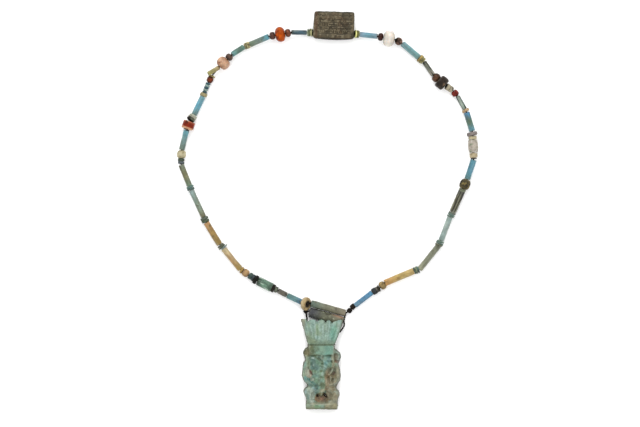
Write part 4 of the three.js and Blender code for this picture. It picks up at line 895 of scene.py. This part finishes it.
tube_starts = {"olive_tube_2": -1.6, "olive_tube_3": -0.6}
tube_growths = {"olive_tube_3": 1.3, "ochre_tube": 0.75}
streaky = ("dark_mottled_tube", "grey_green_tube_1", "grey_green_tube_2")
tube_glaze = fired_glaze("tube_glaze", 0.25, 0.35, 0.28, (0.35, 0.62))
for node, length, diameter, *colours, stain, share in tubes:
    start, grown = tube_starts.get(node, -0.15), tube_growths.get(node, 0.3)
    made = turned(node, start, length + grown, diameter, (0.2, 0.16), 0.10, 0.7)
    places, quads, along, edge, inner = made
    tint = bead_tint(places, along, edge, inner, colours, stain, share)
    # Lengthwise streaks: dark ones of the stain, and pale ones that are partly glaze streaks and partly
    # painted highlight. The streaky tubes get finer, stronger streaks.
    streak = grain(squeezed(places, node, 0.9), 0.5 if node in streaky else 0.75, 45)
    dark, pale = 0.35 * step(0.0, 0.5, streak), 0.3 * step(-0.2, -0.6, streak)
    if node in streaky:
        dark, pale = step(0.05, 0.3, streak), 0.7 * step(-0.15, -0.4, streak)
    if node == "dark_mottled_tube":
        pale = pale * (0.3 + 0.7 * step(0.0, 0.5, along))
    tint = layered(tint, (stain, dark))
    tint = mixed(tint, tint * 0.4 + linear((186, 188, 164)) * 0.6, pale)
    if node == "olive_tube_2":
        middle, way, _ = lies_at(node)
        places = swung(places, middle + 2.4 * way, way, [0.85, 0.5, -0.16])
    slot = "blue_faience" if "blue" in node else "olive_faience" if "olive" in node else "teal_faience"
    if node in ("sand_tube", "brown_tube", "ochre_tube"):
        slot = "sand_faience"
    piece(node + "_glazed", places, quads, tube_glaze, node, tint)

# The disc beads. Thin rings of faience and shell, pressed in small stacks between the longer beads.
# One pale disc hangs loose on the thread, out of line with its stack, and one disc is half black.

# Each row gives a stack's node and where it starts, then each disc's thickness, diameter and colour.
discs = [
    ("green_glazed_cylinder", 0, [(1.6, 3.4, (105, 111, 96)), (1.6, 4.3, (22, 20, 15))]),
    ("black_disc_group", -0.25,
     [(1.85, 4.7, (10, 12, 8)), (1.4, 3.7, (52, 66, 72)), (1.8, 3.6, (62, 84, 78))]),
    ("beige_round_bead", 3.6, [(1.1, 3.6, (176, 142, 72))]),
    ("teal_disc_group_1", 0,
     [(0.8, 4.4, (140, 156, 150)), (0.9, 4.2, (92, 104, 84)), (0.9, 3.8, (96, 102, 82))]),
    ("teal_disc_group_2", 0, [(1.4, 4.1, (76, 92, 68)), (1.4, 4.3, (94, 106, 90))]),
    ("teal_disc_group_3", 0, [(1.1, 3.9, (78, 104, 98)), (1.1, 4.0, (94, 126, 118))]),
    ("red_cylinder_bead", 0, [(0.6, 3.2, (50, 46, 38))]),
    ("cream_round_bead", 0, [(1.3, 3.4, (74, 86, 92)), (1.4, 3.4, (58, 76, 61))]),
    ("mottled_disc_group", 0,
     [(1.1, 4.5, (98, 106, 86)), (1.0, 4.5, (176, 174, 156)), (1.0, 4.3, (190, 194, 174))]),
    ("striped_disc_group", 0,
     [(1.8, 3.9, (168, 156, 114)), (1.1, 2.8, (48, 84, 92)), (1.1, 2.8, (150, 176, 168)),
      (1.1, 2.8, (44, 88, 100)), (1.1, 2.8, (152, 178, 170)), (1.1, 2.8, (49, 87, 94))]),
    ("dark_red_round_bead", 3.0, [(0.9, 3.6, (158, 140, 88))]),
    ("cream_disc_group", 0,
     [(1.0, 3.5, (148, 140, 96)), (0.9, 3.7, (184, 176, 124)), (0.9, 3.7, (206, 190, 138))]),
    ("olive_disc_group_1", 0,
     [(0.8, 4.0, (134, 148, 120)), (0.9, 4.1, (104, 112, 74)), (0.9, 4.1, (196, 194, 142))]),
    ("olive_disc_group_2", 0,
     [(0.8, 4.2, (255, 255, 160)), (0.7, 4.2, (128, 122, 56)), (0.8, 4.0, (126, 136, 98))]),
    ("ochre_disc_group", 0,
     [(1.1, 4.2, (186, 158, 91)), (1.0, 4.2, (155, 147, 89)), (0.9, 3.8, (155, 147, 92))]),
    ("cream_bead_pair", 0, [(2.0, 3.6, (176, 166, 140)), (1.9, 3.3, (192, 182, 156))]),
    ("ochre_disc", 0.1, [(1.5, 4.0, (192, 160, 120))]),
    ("mottled_barrel_bead", 13.0, [(0.6, 3.3, (60, 52, 42))]),
    ("dark_ribbed_bead", 5.2, [(0.7, 3.8, (112, 118, 94)), (0.6, 3.7, (132, 140, 114))]),
    ("teal_disc_group_4", 0,
     [(1.0, 3.8, (104, 112, 100)), (0.9, 3.8, (104, 130, 120)), (0.9, 3.8, (100, 126, 114))]),
    ("teal_disc_group_5", 0,
     [(0.9, 4.1, (106, 132, 116)), (1.0, 4.1, (98, 122, 112)), (0.9, 4.1, (118, 124, 100))]),
    ("teal_disc_group_6", 0,
     [(0.9, 3.9, (90, 122, 111)), (0.9, 3.9, (136, 149, 119)), (0.9, 3.8, (78, 98, 82))]),
    ("grey_disc_group", 0, [(0.8, 3.6, (36, 34, 20)), (1.2, 3.2, (84, 82, 76)), (2.2, 3.6, (50, 56, 58))]),
]
loose_disc, loose_bore = "teal_disc_group_1_disc_1", 1.35
thin, dark_below, pale_above = 1.5, 180, 450
disc_glaze = fired_glaze("disc_glaze", 0.18, 0.7, 0.3, (0.55, 0.85))
dark_glaze = fired_glaze("dark_glaze", 0.1, 0.5, 0.04, (0.5, 0.8))
for node, start, stack in discs:
    for number, (length, diameter, colour) in enumerate(stack):
        name = f"{node}_disc_{number + 1}" if len(stack) > 1 else f"{node}_disc"
        rim = (0.3, 0.34) if length < thin else (0.4, 0.3)
        bore = loose_bore if name == loose_disc else bore_radius
        made = turned(node, start + 0.01, length - 0.02, diameter, rim, 0.16, 0.3, 36, bore)
        places, quads, along, edge, inner = made
        start += length
        if length < thin:
            _, way, _ = lies_at(node)
            lean = np.random.default_rng(7 * number + len(node)).uniform(-0.1, 0.1, 3)
            places = swung(places, places.mean(axis=0), way, way + lean)
        if name == loose_disc:
            places = places + [0.6, 0.55, 0]
        stain = np.array(colour) * 0.55
        tint = bead_tint(places, along, 0.4 * edge, inner, [colour] * 3, stain, 0.35)
        # Painted shade on each disc's two faces, where it meets its neighbours in the stack.
        tint = tint * (1 - 0.45 * step(0.12, 0.0, np.minimum(along, 1 - along)))[:, None]
        if name == "mottled_disc_group_disc_1":
            black_side = step(0.5, -0.5, places[:, 0] - places[:, 0].mean())
            tint = layered(tint, ((24, 20, 16), black_side))
        brightness = sum(colour)
        glaze = dark_glaze if brightness < dark_below else disc_glaze
        slot = "cream_faience" if brightness > pale_above else "teal_faience"
        if brightness < dark_below:
            slot = "dark_faience"
        piece(name, places, quads, glaze, node, tint)

# The round beads. Carnelian, garnet-dark and milky stones, drilled and polished by hand, between
# smaller beads of dark stone and of faience.

# Each row gives a bead's name, node, start, length, diameter, colour and stain, the share that the
# stain covers, and its slot.
rounds = [
    ("beige_bead", "beige_round_bead", 0, 3.6, 4.0, (184, 148, 102), (112, 90, 62), 0.3, "sand_faience"),
    ("cream_bead", "cream_round_bead", 2.7, 4.1, 4.8, (208, 198, 162), (150, 138, 98), 0.25, "cream_faience"),
    ("dark_red_bead_1", "dark_red_round_bead", 0, 3.0, 3.5, (118, 50, 20), (48, 26, 18), 0.35, "dark_stone"),
    ("pink_bead", "pink_round_bead", 0, 5.4, 7.0, (214, 172, 140), (128, 78, 46), 0.36, "pink_stone"),
    ("dark_red_bead_2", "pink_round_bead", 5.4, 3.0, 4.1, (100, 76, 64), (62, 46, 38), 0.4, "dark_stone"),
    ("dark_red_bead_3", "orange_round_bead", 0, 2.9, 4.1, (100, 66, 56), (58, 38, 32), 0.4, "dark_stone"),
    ("carnelian_bead", "orange_round_bead", 2.9, 5.0, 7.9, (196, 84, 0), (140, 48, 0), 0.45, "carnelian"),
    ("dark_red_bead_4", "orange_round_bead", 7.9, 2.9, 4.3, (130, 74, 50), (74, 48, 36), 0.35, "dark_stone"),
    ("dark_red_bead_5", "white_round_bead", 0, 2.7, 4.2, (64, 32, 26), (42, 24, 20), 0.4, "dark_stone"),
    ("white_bead", "white_round_bead", 2.7, 5.8, 8.7, (246, 240, 228), (184, 168, 148), 0.06, "white_stone"),
    ("dark_red_bead_6", "dark_round_bead_1", 0, 3.3, 4.1, (126, 92, 78), (56, 42, 32), 0.35, "dark_stone"),
    ("brown_bead", "black_cylinder_bead", -0.2, 3.7, 4.7, (100, 66, 44), (60, 42, 28), 0.4, "dark_stone"),
    ("red_bead", "red_round_bead", 0, 3.1, 3.8, (132, 42, 32), (66, 22, 18), 0.35, "carnelian"),
    ("dark_ribbed_bead_round", "dark_ribbed_bead", 0, 5.2, 5.6, (46, 42, 28), (136, 120, 72), 0.5,
     "dark_faience"),
    ("ochre_bead", "ochre_round_bead", 0, 3.2, 4.3, (168, 142, 90), (84, 70, 42), 0.38, "sand_faience"),
]


def polished_stone(name, clear, roughness, veins, clouding, sheen):
    """Hand polished stone that lets light a little way in: the piece's own tint with cloudy depths
    and darker veins, a few pinprick hollows, and a soft shine."""
    made, tree, shader, coords, tint = tinted(name, sheen)
    cloud = noise(tree, coords, 1.6, 4.0, 0.6)
    fine = noise(tree, coords, 0.4, 5.0, 0.65)
    colour = brightened(tree, tint, ramp(tree, cloud, 0.3, 0.7, 1 - clouding, 1 + clouding))
    off_vein = arithmetic(tree, "SUBTRACT", noise(tree, coords, 2.2, 5.0, 0.6), 0.5)
    vein = ramp(tree, arithmetic(tree, "ABSOLUTE", off_vein), 0.0, 0.03, veins, 0.0)
    colour = blend(tree, vein, colour, (*linear((70, 40, 28)), 1))
    relief = arithmetic(tree, "MULTIPLY_ADD", pits(tree, coords, 1.3, 0.2), -0.8, fine)
    shine = ramp(tree, fine, 0.35, 0.75, roughness, roughness + 0.3)
    surface(tree, shader, colour, shine, relief, 0.3, 0.08)
    shader.inputs["Subsurface Weight"].default_value = clear
    shader.inputs["Subsurface Radius"].default_value = (1.0, 0.5, 0.3)
    shader.inputs["Subsurface Scale"].default_value = 1.2 * mm
    return made


stones = {
    "carnelian": polished_stone("carnelian", 0.25, 0.1, 0.25, 0.35, 0.1),
    "white_stone": polished_stone("milky_stone", 0.7, 0.2, 0.0, 0.06, 0.35),
    "pink_stone": polished_stone("pink_stone", 0.4, 0.34, 0.2, 0.3, 0.25),
    "dark_stone": polished_stone("dark_stone", 0.05, 0.2, 0.2, 0.45, 0.12),
    "cream_faience": fired_glaze("cream_paste", 0.2, 0.5, 0.3, (0.5, 0.8)),
    "sand_faience": fired_glaze("sand_paste", 0.2, 0.6, 0.3, (0.55, 0.8)),
    "dark_faience": fired_glaze("dark_paste", 0.12, 0.6, 0.08, (0.4, 0.7)),
}
for name, node, start, length, diameter, colour, stain, share, slot in rounds:
    face = 0.5 if diameter > 5 else 0.3
    rim = (0.5 * length - 0.05, diameter / 2 - bore_radius - face)
    made = turned(node, start + 0.03, length - 0.06, diameter, rim, 0.14, 0.4, 56)
    places, quads, along, edge, inner = made
    if name == "dark_ribbed_bead_round":
        middle, way, _ = lies_at(node)
        radial = squeezed(places, node, 1) - middle
        around = np.arctan2(radial @ np.cross(way, [0, 0, 1.0]), radial[:, 2])
        places = places - radial * (0.07 * (1 - np.cos(9 * around)) * (1 - inner))[:, None]
    # Painted shade at both ends, where each bead meets its neighbours: the ends are mixed halfway towards the
    # stain, which is darker on every bead but the ribbed one.
    end_colour = 0.5 * np.array(colour) + 0.5 * np.array(stain)
    tint = bead_tint(places, along, 0 * edge, inner, [end_colour, colour, end_colour], stain, share)
    piece(name, places, quads, stones[slot], node, tint)

# The thick cylinders. A green glazed faience cylinder with running streaks and painted highlight, a
# short red carnelian one worn to salmon at its ends, and a black one with rubbed brown patches.

runny_glaze = fired_glaze("runny_glaze", 0.35, 0.2, 0.3, (0.12, 0.4))

# Each row gives a bead's name, node, start, length, diameter, rim and roughness, its colours, its
# stain and the share that this covers, its material and its slot.
cylinders = [
    ("green_cylinder", "green_glazed_cylinder", 3.1, 8.0, 4.9, (0.6, 0.45), 0.2,
     [(66, 94, 74), (104, 142, 118), (4, 46, 24)], (44, 66, 48), 0.3, runny_glaze, "green_glaze"),
    ("red_cylinder", "red_cylinder_bead", 0.6, 4.2, 6.3, (0.6, 0.45), 0.2,
     [(120, 50, 28), (142, 40, 8), (164, 72, 44)], (74, 26, 18), 0.4, stones["carnelian"], "carnelian"),
    ("black_cylinder", "black_cylinder_bead", 3.2, 4.5, 7.3, (0.9, 0.8), 0.45,
     [(36, 28, 22), (44, 35, 27), (42, 40, 34)], (110, 90, 70), 0.35, stones["dark_stone"], "dark_faience"),
]
for name, node, start, length, diameter, rim, rough, colours, stain, share, material, slot in cylinders:
    places, quads, along, edge, inner = turned(node, start, length, diameter, rim, rough, 0.8, 64)
    tint = bead_tint(places, along, 0.5 * edge, inner, colours, stain, share)
    if name == "green_cylinder":
        middle, _, _ = lies_at(node)
        # Runs in the glaze: dark runs, and pale runs that are partly glaze and partly painted highlight.
        run = grain(squeezed(places, node, 0.75) - middle, 0.8, 51)
        pale_run_and_highlight, dark_run = step(0.15, 0.6, run) * 0.8, step(-0.3, -0.7, run) * 0.6
        tint = layered(tint, ((196, 220, 200), pale_run_and_highlight), ((40, 66, 50), dark_run))
    if name == "red_cylinder":
        salmon = (step(0.3, 0.2, along) + 0.5 * step(0.88, 0.96, along)) * 0.8
        tint = layered(tint, ((224, 172, 134), salmon))
    if name == "black_cylinder":
        places[:, 2] += 0.4
    piece(name, places, quads, material, node, tint)

# The mottled barrel. A long grey-white barrel of mottled paste with green specks, between a cream
# collar and a cream end, with a lilac-grey disc above it that leans.

barrel_node = "mottled_barrel_bead"
barrel = [
    ("lilac_disc", 0, 2.0, 5.7, (0.7, 0.6), (142, 132, 128), (104, 98, 90), 0.35),
    ("cream_collar", 2.0, 1.8, 4.2, (0.3, 0.3), (196, 184, 148), (150, 140, 98), 0.3),
    ("barrel", 3.8, 6.7, 5.2, (3.1, 0.75), (186, 176, 162), (148, 142, 126), 0.3),
    ("cream_end", 10.5, 2.5, 4.1, (0.5, 0.5), (188, 172, 138), (146, 134, 94), 0.3),
]
for name, start, length, diameter, rim, colour, stain, share in barrel:
    made = turned(barrel_node, start + 0.03, length - 0.06, diameter, rim, 0.14, 0.5, 56)
    places, quads, along, edge, inner = made
    tint = bead_tint(places, along, 0.3 * edge, inner, [colour] * 3, stain, share)
    if name == "lilac_disc":
        middle, way, _ = lies_at(barrel_node)
        places = swung(places, middle - 5.8 * way, way, way + [0.18, 0.02, 0]) + [-0.2, 0, 0.25]
        tint = tint * (0.8 + 0.2 * step(-2.5, 0.5, places[:, 0] - middle[0]))[:, None]
    if name == "barrel":
        speck = grain(places, 0.75, 61)
        green_specks, pale_specks = step(0.5, 0.7, speck), step(-0.35, -0.6, speck) * 0.7
        tint = layered(tint, ((104, 128, 92), green_specks), ((226, 222, 212), pale_specks))
    piece(name, places, quads, stones["cream_faience"], barrel_node, tint)

# The two spacer tubes over the figure. Thick faience tubes side by side, worn to grey and brown, the
# lower one mottled with pale specks and pinkish at its right end.

surface_gap = 0.03
lower_tube_shift = 0.5 * np.array([-0.28, -0.96])
spacers = [
    ("upper_spacer_tube", 18.0, 3.6, [(138, 130, 110), (130, 130, 108), (104, 122, 110)], (96, 90, 72), 0.35),
    ("lower_spacer_tube", 17.7, 5.2, [(124, 120, 100), (110, 112, 90), (78, 80, 84)], (70, 68, 54), 0.4),
]
worn_glaze = fired_glaze("worn_glaze", 0.2, 0.6, 0.22, (0.45, 0.75))
for node, length, diameter, colours, stain, share in spacers:
    places, quads, along, edge, inner = turned(node, -0.5, length, diameter, (0.45, 0.35), 0.16, 1.0, 56)
    places[:, 2] = np.maximum(places[:, 2], surface_gap)
    tint = bead_tint(places, along, edge, inner, colours, stain, share)
    if node == "lower_spacer_tube":
        places[:, :2] += lower_tube_shift
        middle, way, _ = lies_at(node)
        high_side = step(0.5, 1.6, (places - middle) @ np.cross(way, [0, 0, 1.0]))
        fleck = grain(places, 0.6, 71)
        cloud = 0.5 + 0.5 * grain(places, 1.6, 72)
        tint = layered(
            tint,
            ((172, 134, 110), high_side * span(along, 0.02, 0.06, 0.2, 0.45) * 0.7),
            ((190, 190, 164), step(0.55, 0.8, fleck) * span(along, 0.15, 0.4, 0.5, 0.85)),
            ((60, 62, 70), step(0.6, 0.9, along) * cloud * 0.7),
        )
    piece(node + "_worn", places, quads, worn_glaze, node, tint)

# The cream ring. A short wide ring of cream paste that leans on its rim beside the spacers, with a
# darker hole and dark thread in it.

ring_node = "cream_ring_bead"
ring_colours = [(192, 166, 118), (196, 178, 140), (186, 156, 108)]
ring_bore = 1.5
places, quads, along, edge, inner = turned(ring_node, 0.3, 2.3, 6.9, (0.8, 0.9), 0.14, 0.5, 64, ring_bore)
middle, way, _ = lies_at(ring_node)
level = way[:2] / np.linalg.norm(way[:2])
places = swung(places, middle, way, [*(0.8 * level), 0.6 * np.sign(way[2])]) + [0.6, -0.45, 0]
places[:, 2] = np.maximum(places[:, 2], surface_gap)
tint = bead_tint(places, along, 0 * edge, inner, ring_colours, (150, 112, 68), 0.4)
piece("cream_ring", places, quads, stones["cream_faience"], ring_node, tint)

# The stringing thread. Two-ply dark brown cord, waxed and dirty: it runs through the beads and back
# through the upper spacer tube, down to the loop behind the crown and through the lower tube, and is
# knotted on both sides of the tubes and in the ring. Each knot is a closed winding round a small ring.

unstrung = ("bes_figure", ring_node, "stringing_thread", "upper_spacer_tube", "lower_spacer_tube")
strand = {}
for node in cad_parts:
    x, y, _ = (sum(corner) / 2 / mm for corner in zip(*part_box(node)))
    if node not in unstrung:
        strand[node] = np.arctan2(ring_middle[0] - x, ring_middle[1] - y) % (2 * np.pi)
strand = sorted(strand, key=strand.get)


def ends_of(node):
    """The two mouths of a bead's bore, in the order of the thread. The plaque's bore lies off its
    middle."""
    if node == "carved_plaque":
        bore_middle = plaque_middle - bore_offset * plaque_side
        return [bore_middle + side * plaque_size[0] / 2 * plaque_way for side in (-1, 1)]
    middle, way, whole = lies_at(node)
    return [middle - way * whole / 2, middle + way * whole / 2]


def reaches(points):
    """How far along a line each of its points is."""
    return np.append(0, np.cumsum(np.linalg.norm(np.diff(points, axis=0), axis=1)))


def rounded_path(points, closed=False):
    """Points 0.25 mm apart along a line of straight stretches, averaged with their neighbours, so
    that its corners turn in small curves."""
    points = np.array([*points, points[0]] if closed else points)
    reach = reaches(points)
    along = np.linspace(0, reach[-1], int(reach[-1] / 0.25) + 2)
    path = np.stack([np.interp(along, reach, points[:, k]) for k in range(3)], axis=1)
    path = path[:-1] if closed else path
    for _ in range(8):
        average = (np.roll(path, 1, axis=0) + path + np.roll(path, -1, axis=0)) / 3
        path = average if closed else np.concatenate([path[:1], average[1:-1], path[-1:]])
    return path


cord_sides = 12
cord_twist = 2.3


def cord(path, thick, closed=False):
    """A two-ply cord along a path: its section has two lobes and turns once in the length of its
    twist, so that its two plies wind round each other. It returns the places, the faces, and how
    high each place lies on its ply."""
    ahead = np.roll(path, -1, axis=0) - np.roll(path, 1, axis=0)
    if not closed:
        ahead[0], ahead[-1] = path[1] - path[0], path[-1] - path[-2]
    ahead = ahead / np.linalg.norm(ahead, axis=1)[:, None]
    side = np.cross(ahead, [0, 0, 1.0])
    side = side / np.linalg.norm(side, axis=1)[:, None]
    up = np.cross(side, ahead)
    reach = reaches(path)
    turns = np.round(reach[-1] / cord_twist) if closed else reach[-1] / cord_twist
    turn = reach / reach[-1] * turns * 2 * np.pi
    angle = np.linspace(0, 2 * np.pi, cord_sides, endpoint=False)
    ply = np.abs(np.cos(angle - turn[:, None]))
    spoke = np.cos(angle)[:, None] * side[:, None] + np.sin(angle)[:, None] * up[:, None]
    places = path[:, None] + (thick * (0.72 + 0.28 * ply))[..., None] * spoke
    quads = ring_quads(len(path), cord_sides, closed)[:, [0, 3, 2, 1]]
    if not closed:
        first = np.arange(cord_sides)
        for ring, turned_round in ((first, 1), (first + (len(path) - 1) * cord_sides, -1)):
            caps = [[ring[k], ring[k + 1], ring[(-k - 2) % cord_sides], ring[-k - 1]]
                    for k in range(cord_sides // 2 - 1)]
            quads = np.concatenate([quads, np.array(caps)[:, ::turned_round]])
    return places.reshape(-1, 3), quads, ply.ravel()


spacer_length = 17.0
upper_right, upper_left = ends_of("upper_spacer_tube")
lower_right, lower_left = ends_of("lower_spacer_tube")
ring_right, ring_left = ends_of(ring_node)
cluster = (upper_left + upper_right) / 2 * [1, 1, 0]
tube_way = (upper_right - upper_left) * [1, 1, 0] / spacer_length
left_meeting = upper_left - tube_way * 0.8
left_meeting[2] = 2.6
right_meeting = upper_right + tube_way * 0.6
lower_end = lower_right + tube_way * 0.5
knot_left, knot_right, knot_low = (
    cluster + place for place in ([-11.2, -1.6, 1.2], [12.2, 0.3, 1.3], [10.7, -1.2, 1.3])
)
crown_top = figure_home + [0.0, figure_height, 0]
loop_mouths = [crown_top + [x, rod_y - figure_height, loop_height] for x in (-7.2, 6.8)]
main_run = [left_meeting, ring_right, ring_left]
for node in strand:
    main_run += ends_of(node)
main_run += [cluster + [13.5, 1.3, 1.3], knot_right, knot_low, right_meeting, upper_right, upper_left]
pendant_run = [
    left_meeting, cluster + [-9.0, 0.6, 1.4], knot_left, crown_top + [-7.1, 0.1, 1.6],
    crown_top + [-7.6, -3.8, loop_height], *loop_mouths, crown_top + [9.2, -6.9, loop_height],
    crown_top + [10.6, -5.0, loop_height], crown_top + [11.7, -3.3, 2.8], crown_top + [11.3, -1.9, 2.2],
    lower_end, right_meeting,
]
lower_run = [knot_left, lower_left, lower_right, lower_end]
t = np.linspace(0, 2 * np.pi, 150, endpoint=False)
reach = 1.15 + 0.8 * np.cos(4 * t)
winding = np.stack([reach * np.cos(3 * t), reach * np.sin(3 * t), 0.95 * np.sin(4 * t)], axis=1)
knots = [(knot_left, 0.42, 0.42), (knot_right + [0.2, 0.5, 0.1], 0.56, 0.5), (knot_low, 0.5, 0.45),
         (ring_right + [0.1, -0.1, 0.0], 0.3, 0.4)]
runs = [
    cord(rounded_path(main_run, True), 0.42, True),
    cord(rounded_path(pendant_run), 0.46),
    cord(rounded_path(lower_run), 0.42),
    *(cord(place + size * winding, thick, True) for place, size, thick in knots),
]
offsets = np.cumsum([0] + [len(places) for places, _, _ in runs])
thread_places = np.concatenate([places for places, _, _ in runs])
thread_quads = np.concatenate([quads + offset for (_, quads, _), offset in zip(runs, offsets)])
thread_ply = np.concatenate([ply for _, _, ply in runs])
dirt = step(-0.3, 0.5, grain(thread_places, 1.5, 81)) * 0.8
# Painted shade along the twist: the plies are darker in the grooves between them and lighter on their crests,
# with dirt laid over in clouds.
thread_tint = layered(linear((18, 15, 12)), ((46, 38, 30), thread_ply**2), ((28, 25, 23), dirt))


def waxed_cord(name):
    """Waxed plant fibre: the plies' own tint, broken by fine fibres that stand out a little."""
    made, tree, shader, coords, tint = tinted(name, 0.1)
    fibre = noise(tree, coords, 0.18, 3.0, 0.8)
    colour = brightened(tree, tint, ramp(tree, fibre, 0.3, 0.7, 0.6, 1.5))
    surface(tree, shader, colour, ramp(tree, fibre, 0.3, 0.7, 0.6, 0.9), fibre, 0.6, 0.08)
    return made


cord_look = waxed_cord("waxed_cord")
piece("twisted_thread", thread_places, thread_quads, cord_look, "stringing_thread", thread_tint)

# The surface that it lies on, the light and the camera. A white studio floor under an even white sky
# and a broad lamp on the plaque's side, with the camera straight above the middle of the photograph.

floor_corners = [(-3, -3, 0), (3, -3, 0), (3, 3, 0), (-3, 3, 0)]
floor_colour, floor_roughness = (0.96, 0.96, 0.96, 1), 0.9
sky_strength = 1.42
camera_place, lens_length, sensor_width = (-0.00373, -0.0017, 1.7798), 200, 36

floor_mesh = bpy.data.meshes.new("floor")
floor_mesh.from_pydata(floor_corners, [], [(0, 1, 2, 3)])
floor_paper = bpy.data.materials.new("floor_paper")
floor_paper.use_nodes = True
floor_shader = floor_paper.node_tree.nodes["Principled BSDF"]
floor_shader.inputs["Base Color"].default_value = floor_colour
floor_shader.inputs["Roughness"].default_value = floor_roughness
floor_mesh.materials.append(floor_paper)
floor = bpy.data.objects.new("floor", floor_mesh)
bpy.context.scene.collection.objects.link(floor)

sky = bpy.data.worlds.new("studio")
sky.use_nodes = True
sky.node_tree.nodes["Background"].inputs["Color"].default_value = (1, 1, 1, 1)
sky.node_tree.nodes["Background"].inputs["Strength"].default_value = sky_strength
bpy.context.scene.world = sky

lamp = bpy.data.lights.new("key_light", "AREA")
lamp.size = 0.45
lamp.energy = 8
key_light = bpy.data.objects.new("key_light", lamp)
key_light.location = (-0.1, 0.85, 0.95)
key_light.rotation_mode = "QUATERNION"
key_light.rotation_quaternion = (-key_light.location).to_track_quat("-Z", "Y")
bpy.context.scene.collection.objects.link(key_light)

lens = bpy.data.cameras.new("camera")
lens.lens = lens_length
lens.sensor_width = sensor_width
lens.clip_start = 0.01
camera = bpy.data.objects.new("camera", lens)
camera.location = camera_place
bpy.context.scene.collection.objects.link(camera)
bpy.context.scene.camera = camera
bpy.context.scene.view_settings.view_transform = "Standard"
